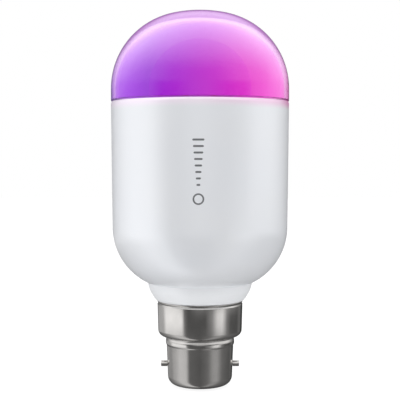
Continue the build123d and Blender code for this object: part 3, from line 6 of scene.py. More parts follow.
import bpy
import numpy as np
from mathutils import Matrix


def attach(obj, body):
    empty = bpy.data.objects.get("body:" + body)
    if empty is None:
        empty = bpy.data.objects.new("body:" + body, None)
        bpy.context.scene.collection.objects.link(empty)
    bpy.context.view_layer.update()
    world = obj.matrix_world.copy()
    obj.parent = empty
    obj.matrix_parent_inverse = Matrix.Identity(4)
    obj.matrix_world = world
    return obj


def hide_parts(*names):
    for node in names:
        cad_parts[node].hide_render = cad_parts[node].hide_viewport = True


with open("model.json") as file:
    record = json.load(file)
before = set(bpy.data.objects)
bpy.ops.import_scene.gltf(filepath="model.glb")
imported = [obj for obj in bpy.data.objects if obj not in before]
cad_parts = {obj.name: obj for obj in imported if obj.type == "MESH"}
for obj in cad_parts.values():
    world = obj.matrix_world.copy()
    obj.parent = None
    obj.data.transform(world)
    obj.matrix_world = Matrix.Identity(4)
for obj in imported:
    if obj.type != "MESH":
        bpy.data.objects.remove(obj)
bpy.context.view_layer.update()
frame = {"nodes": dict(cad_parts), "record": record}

# ---------------------------------------------------------------- camera

# The bulb is looked at from the front, at the height of the middle of its body, through a long
# lens that looks down a little.
CAMERA_DISTANCE = 0.331
CAMERA_HEIGHT = 0.0781
CAMERA_PITCH = 2.54  # degrees below the horizon
LENS = 87.77

camera = bpy.data.objects.new("camera", bpy.data.cameras.new("camera"))
bpy.context.scene.collection.objects.link(camera)
camera.location = (0, -CAMERA_DISTANCE, CAMERA_HEIGHT)
camera.rotation_euler = (math.radians(90 - CAMERA_PITCH), 0, 0)
camera.data.lens = LENS
camera.data.sensor_width = 36
camera.data.clip_start = 0.01
camera.data.clip_end = 20
bpy.context.scene.camera = camera
bpy.context.scene.view_settings.view_transform = "Standard"

# ---------------------------------------------------------------- studio

# A white room with a large soft box on each side, a darker front and a bright ceiling. Every
# light in it is part of the room, so nothing stands near the bulb but the white table.


def add(tree, kind, inputs=(), **settings):
    """A new node, with its settings by name and its inputs as values or as links."""
    node = tree.nodes.new(kind)
    for name, value in settings.items():
        setattr(node, name, value)
    for name, value in dict(inputs).items():
        if isinstance(value, bpy.types.NodeSocket):
            tree.links.new(value, node.inputs[name])
        else:
            node.inputs[name].default_value = value
    return node


def calculate(tree, operation, *values):
    """One arithmetic step on values or sockets."""
    return add(tree, "ShaderNodeMath", enumerate(values), operation=operation).outputs[0]


def rise(tree, value, low, high):
    """0 below low, 1 above high, and a smooth rise between."""
    limits = {"Value": value, "From Min": low, "From Max": high}
    node = add(tree, "ShaderNodeMapRange", limits, interpolation_type="SMOOTHSTEP")
    return node.outputs["Result"]


def shades(tree, place, stops):
    """A ramp through stops of (place, shade). A shade is a grey level or a colour."""
    node = add(tree, "ShaderNodeValToRGB", {"Fac": place})
    points = node.color_ramp.elements
    while len(points) < len(stops):
        points.new(0.5)
    for point, (where, shade) in zip(points, stops):
        point.position = where
        point.color = (*shade, 1) if isinstance(shade, tuple) else (shade, shade, shade, 1)
    return node.outputs["Color"]


def mixed(tree, share, first, second):
    """The first colour where the share is 0, and the second where it is 1."""
    node = add(tree, "ShaderNodeMix", data_type="RGBA")
    for index, value in ((0, share), (6, first), (7, second)):
        if isinstance(value, bpy.types.NodeSocket):
            tree.links.new(value, node.inputs[index])
        else:
            node.inputs[index].default_value = (*value, 1) if isinstance(value, tuple) else value
    return node.outputs[2]


def around(stops):
    """Stops given by compass bearing, where 0 is the front and right is positive, as places on
    a ramp: 0.5 + bearing / 360."""
    return [(0.5 + degrees / 360, shade) for degrees, shade in stops]


world = bpy.data.worlds.new("studio")
bpy.context.scene.world = world
world.use_nodes = True
room = world.node_tree
room.nodes.clear()
direction = add(room, "ShaderNodeSeparateXYZ", {0: add(room, "ShaderNodeTexCoord").outputs["Generated"]})
forward = calculate(room, "MULTIPLY", direction.outputs["Y"], -1.0)
turn = calculate(room, "ARCTAN2", direction.outputs["X"], forward)
bearing = calculate(room, "MULTIPLY_ADD", turn, 1 / math.tau, 0.5)
height = direction.outputs["Z"]
# Seen from the cap: two soft boxes with crisp front edges
low_walls = shades(room, bearing, around([
    (-170, 0.05), (-150, 0.50), (-118, 0.62), (-104, 1.35), (-50, 1.42), (-43, 0.24),
    (-32, 0.12), (14, 0.10), (34, 0.42), (48, 1.15), (62, 1.30), (78, 0.28),
    (92, 0.10), (120, 0.10), (136, 0.22), (150, 0.05),
]))
# Seen from the body: broad soft light from the left, a narrower one on the right
middle_walls = shades(room, bearing, around([
    (-175, 0.10), (-145, 0.28), (-116, 0.80), (-98, 0.95), (-66, 0.92), (-48, 0.08), (-30, 0.10),
    (-8, 0.56), (8, 0.56), (34, 0.05), (58, 0.05), (72, 0.80), (100, 0.95), (116, 0.65), (145, 0.15),
    (175, 0.05),
]))
# Above that, the room is brighter all round
high_walls = shades(room, bearing, around([
    (-175, 0.05), (-142, 0.35), (-110, 1.2), (-60, 1.3), (-35, 0.6), (20, 0.5), (50, 1.0), (110, 1.1),
    (142, 0.35), (175, 0.05),
]))
walls = mixed(room, rise(room, height, -0.17, -0.07), low_walls, middle_walls)
walls = mixed(room, rise(room, height, 0.06, 0.20), walls, high_walls)
walls = mixed(room, rise(room, height, 0.35, 0.75), walls, (1.5, 1.5, 1.5))
# Under the boxes the floor is grey, with their light on it
ground = shades(room, bearing, around([
    (-150, 0.15), (-120, 0.32), (-99, 0.50), (-75, 0.85), (-50, 0.75), (-38, 0.18), (0, 0.14),
    (28, 0.22), (46, 0.42), (62, 0.42), (84, 0.22), (126, 0.14), (160, 0.10),
]))
walls = mixed(room, rise(room, calculate(room, "MULTIPLY", height, -1.0), 0.21, 0.28), walls, ground)
light = add(room, "ShaderNodeBackground", {"Color": walls})
backdrop = add(room, "ShaderNodeBackground", {"Color": (1, 1, 1, 1)})
ray = add(room, "ShaderNodeLightPath")
open_view = calculate(room, "MAXIMUM", ray.outputs["Is Camera Ray"], ray.outputs["Is Transmission Ray"])
either = add(room, "ShaderNodeMixShader", {0: open_view, 1: light.outputs[0], 2: backdrop.outputs[0]})
add(room, "ShaderNodeOutputWorld", {"Surface": either.outputs[0]})

# The table is a plain white sheet that gives its light upwards only.
TABLE_HALF = 1.5
table_mesh = bpy.data.meshes.new("table")
table_corners = [(-1, -1), (1, -1), (1, 1), (-1, 1)]
table_mesh.from_pydata([(x * TABLE_HALF, y * TABLE_HALF, 0) for x, y in table_corners], [], [(0, 1, 2, 3)])
table = bpy.data.objects.new("table", table_mesh)
bpy.context.scene.collection.objects.link(table)
table.visible_glossy = False


def new_finish(name):
    """A material with nodes: itself, its tree and its main shader."""
    finish = bpy.data.materials.new(name)
    finish.use_nodes = True
    return finish, finish.node_tree, finish.node_tree.nodes["Principled BSDF"]


def set_plain(shader, values):
    """Sets sockets that are the same all over the surface."""
    for name, value in values.items():
        shader.inputs[name].default_value = (*value, 1) if isinstance(value, tuple) else value


table_finish, tree, shader = new_finish("table_white")
set_plain(shader, {"Base Color": (0.70, 0.70, 0.70), "Roughness": 0.9, "Emission Strength": 0.31})
set_plain(shader, {"Emission Color": (1.0, 1.0, 1.0)})
below = add(tree, "ShaderNodeNewGeometry").outputs["Backfacing"]
clear = add(tree, "ShaderNodeBsdfTransparent")
# Looked at straight, the sheet is as bright as the room's back wall, with a faint shadow
WALL_SHARE = 0.75
straight = add(tree, "ShaderNodeLightPath").outputs["Is Camera Ray"]
seen = calculate(tree, "MULTIPLY", straight, WALL_SHARE)
sheet = add(tree, "ShaderNodeEmission", {"Strength": 1.1})
above = add(tree, "ShaderNodeMixShader", {0: seen, 1: shader.outputs[0], 2: sheet.outputs[0]})
one_sided = add(tree, "ShaderNodeMixShader", {0: below, 1: above.outputs[0], 2: clear.outputs[0]})
tree.links.new(one_sided.outputs[0], tree.nodes["Material Output"].inputs["Surface"])
table_mesh.materials.append(table_finish)

# ---------------------------------------------------------------- contact plates

# Two stamped brass tablets press on the lampholder's plungers. Each has a countersunk hole with
# a brass eyelet behind it, and solder fills the countersink.
slots = {row["node"]: row["material_slot"] for row in frame["record"]["subparts"]}


def grain(tree, scale, detail=3.0, stretch=(1, 1, 1), roughness=0.5):
    """Noise on the bulb's own coordinates in metres. A large stretch squeezes it on that axis."""
    own = add(tree, "ShaderNodeTexCoord").outputs["Object"]
    placed = add(tree, "ShaderNodeMapping", {"Vector": own, "Scale": stretch}).outputs[0]
    inputs = {"Vector": placed, "Scale": scale, "Detail": detail, "Roughness": roughness}
    return add(tree, "ShaderNodeTexNoise", inputs).outputs["Fac"]


def own_place(tree):
    """The X, Y and Z outputs of a place on the bulb, in metres."""
    return add(tree, "ShaderNodeSeparateXYZ", {0: add(tree, "ShaderNodeTexCoord").outputs["Object"]}).outputs


def spread(tree, value, low, high):
    """Noise, which lies mostly between 0.3 and 0.7, brought to a range."""
    inputs = {"Value": value, "From Min": 0.3, "From Max": 0.7, "To Min": low, "To Max": high}
    return add(tree, "ShaderNodeMapRange", inputs).outputs["Result"]


def relief(tree, shader, height, depth):
    """Fine relief with its depth in metres."""
    node = add(tree, "ShaderNodeBump", {"Height": height, "Distance": depth, "Strength": 1.0})
    tree.links.new(node.outputs[0], shader.inputs["Normal"])


def metal(name, colour, roughness, marks=(1, 1, 1), depth=0.3e-6, dulling=0.12):
    """Bare or plated metal: fine tool marks, and patches where it is duller and rougher."""
    finish, tree, shader = new_finish(name)
    set_plain(shader, {"Metallic": 1.0})
    dull = tuple(channel * (1 - dulling) for channel in colour)
    patches = spread(tree, grain(tree, 180, 4), 0, 1)
    tree.links.new(mixed(tree, patches, colour, dull), shader.inputs["Base Color"])
    lines = grain(tree, 900, 5, marks, 0.7)
    rough = spread(tree, lines, roughness * 0.85, roughness * 1.25)
    tree.links.new(rough, shader.inputs["Roughness"])
    relief(tree, shader, lines, depth)
    return finish


def dress(finish, *nodes):
    """Gives CAD nodes their finish."""
    for node in nodes:
        piece = frame["nodes"][node]
        piece.data.materials.clear()
        piece.data.materials.append(finish)


brass = metal("stamped_brass", (0.80, 0.62, 0.32), 0.26, (1, 12, 1), 0.4e-6, 0.3)
dress(brass, "contact_plates", "contact_eyelets")
solder = metal("bright_solder", (0.72, 0.73, 0.75), 0.34, (1, 1, 1), 2e-6, 0.2)
dress(solder, "contact_solder")

# ---------------------------------------------------------------- cap insulator

# Black glass is cast into the foot of the cap round the contacts. Its surface is fire-polished,
# with the faint flow lines of the pour.


def glassy(name, colour, roughness, wave):
    """Glass or glaze: smooth, with slow ripples as deep as the wave, in metres."""
    finish, tree, shader = new_finish(name)
    set_plain(shader, {"IOR": 1.52})
    flow = grain(tree, 260, 2, (1, 2.5, 1))
    pale = tuple(min(1.0, channel * 1.5 + 0.01) for channel in colour)
    tree.links.new(mixed(tree, spread(tree, flow, 0, 1), colour, pale), shader.inputs["Base Color"])
    tree.links.new(spread(tree, flow, roughness, roughness * 2.2), shader.inputs["Roughness"])
    relief(tree, shader, flow, wave)
    return finish


dress(glassy("cast_black_glass", (0.012, 0.012, 0.014), 0.07, 30e-6), "cap_insulator")

# ---------------------------------------------------------------- cap shell

# One cup of brass sheet, drawn and rolled, then nickel plated: a foot curled in to grip the
# glass, the barrel, a neck ring, a step, and the wide flange with a rolled line under its lip.
MM = 0.001
SHEET = 0.45
CURL_R = 3.0
CURL_CENTRE = (7.95, 3.5)
STEP_FILLET = 2.1
STEP_CENTRE = (12.15, 19.4)
CURVE_POINTS = 6  # in every eased corner


def arc(centre, radius, start, end, count):
    """Rows of (r, z, 0) on a circle: the centre plus the radius times the cosine and the sine
    of angles spaced evenly from start to end, in degrees."""
    turn = np.radians(np.linspace(start, end, count))
    return np.stack([centre[0] + radius * np.cos(turn), centre[1] + radius * np.sin(turn), 0 * turn], 1)


def eased(*rows):
    """An outline of (r, z) from rows of (r, z, cut). A corner with a cut becomes the curve
    (1-t)^2 start + 2t(1-t) corner + t^2 end, from the cut before it to the cut after it."""
    rows = np.vstack([np.atleast_2d(np.array(row, float)) for row in rows])
    corners, cuts = rows[:, :2], rows[:, 2]
    before, after = np.roll(corners, 1, 0) - corners, np.roll(corners, -1, 0) - corners
    run_before, run_after = np.linalg.norm(before, axis=1), np.linalg.norm(after, axis=1)
    starts = corners + before * (np.minimum(cuts, 0.48 * run_before) / run_before)[:, None]
    ends = corners + after * (np.minimum(cuts, 0.48 * run_after) / run_after)[:, None]
    t = np.linspace(0, 1, CURVE_POINTS)[None, :, None]
    curves = (1 - t) ** 2 * starts[:, None] + 2 * t * (1 - t) * corners[:, None] + t**2 * ends[:, None]
    return np.vstack([curve if cut > 0 else curve[:1] for curve, cut in zip(curves, cuts)])


def turned(outline, steps):
    """A turned solid in metres from an outline of (r, z) in millimetres. The point of row j at
    step i is (r cos a, r sin a, z) with a = 2 pi i / steps. An outline that starts and ends on
    the axis closes with a fan at each pole, and any other closes on itself."""
    r, z = outline.T
    if np.sum(r * np.roll(z, -1) - np.roll(r, -1) * z) < 0:
        outline = outline[::-1]
    poles, rings = outline[outline[:, 0] < 1e-6], outline[outline[:, 0] >= 1e-6]
    a = np.arange(steps) * math.tau / steps
    points = [rings[:, :1] * np.cos(a), rings[:, :1] * np.sin(a), rings[:, 1:] + 0 * a]
    vertices = np.stack(points, 2).reshape(-1, 3)
    here = np.arange(steps)
    there = (here + 1) % steps
    rows = np.arange(len(rings) - 1 if len(poles) else len(rings))[:, None] * steps
    above = (rows + steps) % len(vertices)
    faces = np.stack([rows + here, rows + there, above + there, above + here], 2).reshape(-1, 4).tolist()
    if len(poles):
        last_ring, first_pole = len(vertices) - steps, len(vertices)
        vertices = np.vstack([vertices, [[0, 0, poles[0, 1]], [0, 0, poles[-1, 1]]]])
        faces += np.stack([0 * here + first_pole, there, here], 1).tolist()
        faces += np.stack([last_ring + here, last_ring + there, 0 * here + first_pole + 1], 1).tolist()
    return vertices * MM, faces


def joined(*solids):
    """Several solids as one list of vertices and one list of faces."""
    faces, first = [], 0
    for vertices, own_faces in solids:
        faces += [[first + corner for corner in face] for face in own_faces]
        first += len(vertices)
    return np.vstack([vertices for vertices, _ in solids]), faces


def make_piece(name, solid, finish, slot, *replaced):
    """A smooth piece that rides with the bulb and stands for the CAD nodes it replaces."""
    vertices, faces = solid
    mesh = bpy.data.meshes.new(name)
    mesh.from_pydata(vertices.tolist(), [], faces)
    mesh.shade_smooth()
    mesh.materials.append(finish)
    piece = bpy.data.objects.new(name, mesh)
    bpy.context.scene.collection.objects.link(piece)
    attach(piece, "root")
    if replaced:
        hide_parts(*replaced)


cap_outline = eased(
    (14.05, 29.4, 0.15),
    (14.5, 29.4, 0.12),
    (14.5, 29.1, 0.1),
    (14.2, 28.55, 0.08),
    (14.48, 28.2, 0.1),
    arc(STEP_CENTRE, STEP_FILLET, 0, -90, 14),
    (11.9, 17.3, 0.15),
    (11.42, 17.05, 0.1),
    (11.38, 16.65, 0.15),
    (11.65, 16.0, 0.3),
    (11.65, 14.6, 0.25),
    (11.35, 14.2, 0.15),
    arc(CURL_CENTRE, CURL_R, 0, -90, 20),
    (CURL_CENTRE[0], 0.95, 0.1),
    arc(CURL_CENTRE, CURL_R - SHEET, -90, 0, 12),
    (10.9, 14.2, 0.1),
    (11.2, 14.6, 0.1),
    (11.2, 17.75, 0.1),
    arc(STEP_CENTRE, STEP_FILLET - SHEET, -90, 0, 8),
)
nickel = metal("polished_nickel", (0.60, 0.585, 0.57), 0.13, (1, 1, 40), 0.12e-6, 0.10)
make_piece("cap_shell_turned", turned(cap_outline, 256), nickel, slots["cap_shell"], "cap_shell")

# ---------------------------------------------------------------- bayonet pins

# Each pin is a turned brass rivet, nickel plated with the cap: a head inside the barrel, a
# spigot through its wall, and the shank that rides in the lampholder's slot.
PIN_Z = 7.5
PIN_TIP = 13.35
pin_outline = eased(
    (0, 9.9, 0),
    (1.3, 9.9, 0.1),
    (1.3, 10.5, 0.05),
    (0.75, 10.5, 0.05),
    (0.75, 11.16, 0.05),
    (1.0, 11.16, 0.05),
    (1.0, PIN_TIP, 0.28),
    (0, PIN_TIP, 0),
)
pin_vertices, pin_faces = turned(pin_outline, 48)
# Laid along the X axis, and turned half round for the other side
right_pin = pin_vertices[:, [2, 1, 0]] * (1, 1, -1) + (0, 0, PIN_Z * MM)
left_pin = right_pin * (-1, -1, 1)
pin_plating = metal("plated_pins", (0.64, 0.62, 0.60), 0.20, (30, 1, 1), 0.2e-6, 0.15)
pins = joined((right_pin, pin_faces), (left_pin, pin_faces))
make_piece("bayonet_pins_turned", pins, pin_plating, slots["bayonet_pins"], "bayonet_pins")

# ---------------------------------------------------------------- mains leads

# Two stranded and tinned conductors run up from the eyelets, each in an extruded sleeve, one
# red and one blue.


def moulded(name, colour, roughness, depth=1.5e-6, pores=1800, shift=0.05, **plain):
    """Moulded plastic or rubber: a slow colour shift, fine orange peel and gloss patches. Any
    other socket of the shader is given by name, with underscores for spaces."""
    finish, tree, shader = new_finish(name)
    set_plain(shader, {key.replace("_", " "): value for key, value in plain.items()})
    slow = spread(tree, grain(tree, 70, 2), 0, 1)
    deeper = tuple(channel * (1 - shift) for channel in colour)
    tree.links.new(mixed(tree, slow, colour, deeper), shader.inputs["Base Color"])
    peel = grain(tree, pores, 3)
    tree.links.new(spread(tree, peel, roughness * 0.9, roughness * 1.15), shader.inputs["Roughness"])
    relief(tree, shader, peel, depth)
    return finish


tinned = metal("tinned_wire", (0.76, 0.77, 0.79), 0.25, (1, 1, 6), 1e-6, 0.15)
dress(tinned, "mains_conductors", "component_leads")
dress(moulded("red_sleeve", (0.62, 0.04, 0.03), 0.42), "mains_lead_live")
dress(moulded("blue_sleeve", (0.04, 0.13, 0.55), 0.42), "mains_lead_neutral")

# ---------------------------------------------------------------- neck collar

# A moulded white collar. Its spigot is glued into the cap's flange, its cone carries the body,
# and four hooks on a split ring snap over the floor of the body shell.
COLLAR_TOP_Z = 35.6
SPLIT_RING_TOP = 39.0
HOOK_WIDTH = 16
SPLIT_RING_R = 14.9
SWEEP_STEPS = 10


def swept(outline, start, width):
    """A solid from a closed outline of (r, z) carried round the axis from start through width,
    in degrees, with both ends capped: (r cos a, r sin a, z) for each angle a."""
    r, z = outline.T
    if np.sum(r * np.roll(z, -1) - np.roll(r, -1) * z) < 0:
        outline = outline[::-1]
    a = np.radians(start + np.linspace(0, width, SWEEP_STEPS))[:, None]
    points = [outline[:, 0] * np.cos(a), outline[:, 0] * np.sin(a), outline[:, 1] + 0 * a]
    count = len(outline)
    here = np.arange(count)
    there = (here + 1) % count
    rows = np.arange(SWEEP_STEPS - 1)[:, None] * count
    sides = np.stack([rows + here, rows + count + here, rows + count + there, rows + there], 2)
    caps = [here.tolist(), (here[::-1] + (SWEEP_STEPS - 1) * count).tolist()]
    return np.stack(points, 2).reshape(-1, 3) * MM, sides.reshape(-1, 4).tolist() + caps


collar_outline = eased(
    (17.75, COLLAR_TOP_Z, 0.12),
    (17.2, 33.2, 0.9),
    (16.3, 31.6, 1.1),
    (15.35, 30.1, 0.2),
    (14.8, 29.55, 0.1),
    (13.95, 29.55, 0.1),
    (13.85, 25.2, 0.05),
    (13.2, 25.2, 0.05),
    (13.2, 22.0, 0.05),
    (13.76, 22.0, 0.05),
    (13.7, 19.8, 0.15),
    (12.35, 19.8, 0.15),
    (12.35, 33.0, 0.2),
    (13.6, 34.3, 0.2),
    (13.6, SPLIT_RING_TOP, 0.1),
    (SPLIT_RING_R, SPLIT_RING_TOP, 0.1),
    (SPLIT_RING_R, COLLAR_TOP_Z, 0.1),
)
hook_outline = eased(
    (14.25, 37.45, 0.02),
    (16.2, 37.45, 0.08),
    (16.2, 37.75, 0.08),
    (SPLIT_RING_R, SPLIT_RING_TOP, 0.08),
    (14.25, SPLIT_RING_TOP, 0.02),
)
hooks = [swept(hook_outline, turn - HOOK_WIDTH / 2, HOOK_WIDTH) for turn in (45, 135, 225, 315)]
collar_white = moulded("collar_white", (0.83, 0.845, 0.87), 0.38, 1.2e-6, 2200, 0.015, Metallic=0.12)
collar = joined(turned(collar_outline, 224), *hooks)
make_piece("neck_collar_moulded", collar, collar_white, slots["neck_collar"], "neck_collar")

# A bead of amber adhesive bonds the spigot to the cap. It cures with a few bubbles in it.
dress(moulded("cap_glue", (0.72, 0.62, 0.44), 0.30, 8e-6, 700, 0.2), "cap_adhesive")

# ---------------------------------------------------------------- body shell

# The body is one moulded shell in a white pearl lacquer. Its wall leans out a little towards the
# dome, its bottom is a large arc, and a groove inside its rim takes the dome's snap lugs.
BODY_R = 30.0
BODY_LOW_R = 29.6
BODY_LOW_Z = 54.4
SEAM_Z = 96.6
BOTTOM_CENTRE = (8.7, BODY_LOW_Z)
BOTTOM_R = 20.9
BODY_WALL = 1.6
RIM_CHAMFER = 0.25
FLOOR_Z = 37.4


def body_r(z):
    """The outer radius of the body's leaning wall: a straight line from its foot to the seam."""
    return BODY_LOW_R + (BODY_R - BODY_LOW_R) * (z - BODY_LOW_Z) / (SEAM_Z - BODY_LOW_Z)


def drop_angle(radius, z):
    """The angle below the horizontal, in degrees, at which an arc about the centre of the
    rounded bottom reaches a height: the arc sine of the drop over the radius."""
    return math.degrees(math.asin((BODY_LOW_Z - z) / radius))


body_outline = eased(
    (BODY_R - RIM_CHAMFER, SEAM_Z, 0.1),
    (body_r(95.9), 95.9, 0.25),
    arc(BOTTOM_CENTRE, BOTTOM_R, 0, -drop_angle(BOTTOM_R, COLLAR_TOP_Z) + 0.6, 40),
    (17.8, COLLAR_TOP_Z, 0.1),
    (15.1, COLLAR_TOP_Z, 0.1),
    (15.1, FLOOR_Z, 0.1),
    arc(BOTTOM_CENTRE, BOTTOM_R - BODY_WALL, -drop_angle(BOTTOM_R - BODY_WALL, FLOOR_Z), 0, 24),
    (body_r(93.9) - BODY_WALL, 93.9, 0.05),
    (28.95, 93.9, 0.05),
    (28.95, 95.3, 0.05),
    (body_r(95.3) - BODY_WALL, 95.3, 0.1),
    (BODY_R - BODY_WALL, SEAM_Z, 0.1),
)

# The dome's light on the rim beside it is painted into the lacquer's colour, over a few millimetres below
# the seam, from the violet side at 0 to the magenta side at 1
PAINTED_GLOW_FOOT = 3.4
PAINTED_GLOW_TOP = 0.6
PAINTED_RIM_GLOW = [
    (0.0, (0.92, 0.82, 0.95)),
    (0.5, (0.93, 0.84, 0.93)),
    (0.93, (0.90, 0.62, 0.82)),
    (1.0, (0.85, 0.30, 0.62)),
]


def pearl(name, colour, roughness, flake):
    """White pearl lacquer: mica flakes give part of a metal's sheen, under orange peel, and the dome's
    light on the top few millimetres is painted into its colour."""
    finish, tree, shader = new_finish(name)
    set_plain(shader, {"Metallic": flake, "Coat Weight": 0.25, "Coat Roughness": 0.12})
    slow = spread(tree, grain(tree, 45, 2), 0, 1)
    cooler = tuple(channel * factor for channel, factor in zip(colour, (0.985, 0.99, 1.0)))
    lacquer = mixed(tree, slow, colour, cooler)
    own = own_place(tree)
    side = calculate(tree, "MULTIPLY_ADD", own["X"], 0.5 / (BODY_R * MM), 0.5)
    # Painted glow: the dome's light on the rim, mixed into the base colour near the seam
    painted_glow = shades(tree, side, PAINTED_RIM_GLOW)
    near = rise(tree, own["Z"], (SEAM_Z - PAINTED_GLOW_FOOT) * MM, (SEAM_Z - PAINTED_GLOW_TOP) * MM)
    tree.links.new(mixed(tree, near, lacquer, painted_glow), shader.inputs["Base Color"])
    mica = grain(tree, 5200, 2)
    tree.links.new(spread(tree, mica, roughness * 0.9, roughness * 1.12), shader.inputs["Roughness"])
    relief(tree, shader, grain(tree, 650, 3), 1.2e-6)
    return finish


pearl_white_painted_rim_glow = pearl("pearl_white_painted_rim_glow", (0.83, 0.845, 0.875), 0.34, 0.32)
make_piece("body_shell_moulded", turned(body_outline, 256), pearl_white_painted_rim_glow, slots["body_shell"], "body_shell")

# ---------------------------------------------------------------- printed mark

# Grey ink is pad printed on the front of the body: a ring, and a row of bars that grow like a
# brightness scale. The ink is a thin raised film.
INK = 0.02
MARK_X = -0.5
RING_Z = 65.0
RING_R = 1.55
STROKE = 0.5
BAR_COUNT = 8
BAR_FOOT_Z = 69.4
BAR_PITCH = 2.0
SHORTEST_BAR = 1.2
BAR_GROWTH = 0.36
BAR_HEIGHT = 0.62


def inked(across, up, closed_loop=False):
    """A strip of ink laid on the body from two grids of places in millimetres, across and up
    the front. Each place lies at a = across / r, once at r = body radius - ink / 2 for the
    underside and once at r = body radius + ink for the top."""
    rows, columns = across.shape
    layers = []
    for lift in (-0.5 * INK, INK):
        r = body_r(up) + lift
        layers.append(np.stack([r * np.sin(across / r), -r * np.cos(across / r), up], 2))
    vertices = np.concatenate([layer.reshape(-1, 3) for layer in layers])
    grid = np.arange(rows * columns).reshape(rows, columns)
    if closed_loop:
        grid = np.vstack([grid, grid[:1]])
    quads = np.stack([grid[:-1, :-1], grid[:-1, 1:], grid[1:, 1:], grid[1:, :-1]], 2).reshape(-1, 4)
    edges = [grid[:, 0][::-1], grid[:, -1]]
    if not closed_loop:
        edges += [grid[0], grid[-1][::-1]]
    top = rows * columns
    walls = [np.stack([e[:-1], e[1:], e[1:] + top, e[:-1] + top], 1) for e in edges]
    return vertices * MM, np.vstack([quads + top, quads[:, ::-1], *walls]).tolist()


def ink_bar(centre, size):
    """A bar with round ends. At a share t of its half height h, a row of the grid reaches
    half width - h + h times the square root of 1 - t^2 to each side."""
    half_wide, half_high = size[0] / 2, size[1] / 2
    t = np.sin(np.linspace(-math.pi / 2, math.pi / 2, 25))
    run = half_wide - half_high
    shape = np.sqrt(np.clip(1 - t**2, 0.0004, 1))
    s = np.linspace(-1, 1, 17)
    across = centre[0] + s * (run + half_high * shape[:, None])
    up = centre[1] + half_high * t[:, None] + 0 * s
    return inked(across, up)


ring_turn = np.linspace(0, math.tau, 49)[:-1, None]
ring_r = RING_R + np.array([0.5, 0.0, -0.5]) * STROKE
ring = inked(MARK_X + ring_r * np.cos(ring_turn), RING_Z + ring_r * np.sin(ring_turn), closed_loop=True)
bars = []
for index in range(BAR_COUNT):
    centre = (MARK_X, BAR_FOOT_Z + BAR_PITCH * index)
    bars.append(ink_bar(centre, (SHORTEST_BAR + BAR_GROWTH * index, BAR_HEIGHT)))
grey_ink = moulded("grey_ink", (0.145, 0.152, 0.16), 0.5, 0.5e-6, 3000, 0.08)
make_piece("printed_mark", joined(ring, *bars), grey_ink, slots["body_shell"])

# ---------------------------------------------------------------- heat sink

# A deep-drawn aluminium cup lines the body and takes the heat down its wall. The drawing die
# leaves fine vertical scores.
dress(metal("drawn_aluminium", (0.78, 0.79, 0.80), 0.30, (14, 14, 1), 2e-6, 0.12), "heat_sink")

# ---------------------------------------------------------------- driver housing

# A flask of off-white flame-resistant plastic keeps the driver away from the metal, and a lid
# with a plug ring closes it under the spreader.
flask = moulded("housing_plastic", (0.80, 0.80, 0.76), 0.48, 3e-6, 900, 0.06)
dress(flask, "driver_housing", "housing_lid")

# ---------------------------------------------------------------- boards

# Glass-cloth laminate under a solder mask: green on the driver, black on the radio, and white
# over the aluminium core of the LED board.
CLOTH = 9000  # waves of the glass cloth per metre, times 2 pi


def laminate(name, mask, roughness):
    """Solder mask over glass cloth: a weave of (sin x + sin y) sin z shows through."""
    finish, tree, shader = new_finish(name)
    own = own_place(tree)
    waves = []
    for axis in "XYZ":
        angle = calculate(tree, "MULTIPLY", own[axis], CLOTH)
        waves.append(calculate(tree, "SINE", angle))
    weave = calculate(tree, "MULTIPLY", calculate(tree, "ADD", waves[0], waves[1]), waves[2])
    lighter = tuple(min(1.0, channel * 1.12 + 0.01) for channel in mask)
    tree.links.new(mixed(tree, rise(tree, weave, -1.2, 1.2), mask, lighter), shader.inputs["Base Color"])
    mottle = grain(tree, 300, 3)
    tree.links.new(spread(tree, mottle, roughness * 0.8, roughness * 1.3), shader.inputs["Roughness"])
    relief(tree, shader, weave, 2e-6)
    return finish


dress(laminate("green_board", (0.03, 0.22, 0.09), 0.30), "driver_board")
dress(laminate("black_board", (0.02, 0.025, 0.03), 0.28), "radio_board")
dress(laminate("white_board", (0.85, 0.85, 0.83), 0.35), "led_board")
dress(solder, "driver_solder", "header_solder")

# ---------------------------------------------------------------- driver components

# Sleeved cans, a potted film capacitor, a coated varistor disc, a ceramic fusible resistor, and
# moulded epoxy packages, all soldered to the driver board.
sleeve = moulded("can_sleeve", (0.03, 0.045, 0.11), 0.30, 1e-6, 1200, 0.2)
dress(sleeve, "bulk_capacitor", "output_capacitor")
dress(moulded("yellow_case", (0.80, 0.52, 0.06), 0.36, 2e-6, 1100, 0.1), "film_capacitor")
dress(moulded("blue_coating", (0.05, 0.13, 0.44), 0.22, 12e-6, 420, 0.2), "varistor")
dress(moulded("grey_ceramic", (0.44, 0.50, 0.46), 0.55, 5e-6, 2600, 0.15), "fuse_resistor")
epoxy = moulded("black_epoxy", (0.035, 0.035, 0.04), 0.55, 4e-6, 3200, 0.3)
dress(epoxy, "bridge_rectifier", "driver_chip", "output_diode", "led_switches", "chip_resistors")
dress(epoxy, "radio_chips", "radio_header", "led_header")

# The transformer and the drum choke: sintered ferrite, a phenolic bobbin, yellow tape over the
# winding, and a coil of enamelled wire.
TURNS = 14000  # turns of the coil per metre, times 2 pi


def coil(name, colour, axis):
    """Enamelled wire wound tight: a sine along the coil's axis makes the turns, with painted shade darkening
    the grooves between them.
    """
    finish, tree, shader = new_finish(name)
    set_plain(shader, {"Metallic": 1.0, "Coat Weight": 0.6, "Coat Roughness": 0.15})
    turns = calculate(tree, "SINE", calculate(tree, "MULTIPLY", own_place(tree)[axis], TURNS))
    # Painted shade: the colour is darker in the grooves between the turns
    groove_shade = tuple(channel * 0.35 for channel in colour)
    tree.links.new(mixed(tree, rise(tree, turns, -1.0, 0.2), groove_shade, colour), shader.inputs["Base Color"])
    tree.links.new(spread(tree, grain(tree, 600), 0.22, 0.36), shader.inputs["Roughness"])
    relief(tree, shader, turns, 40e-6)
    return finish


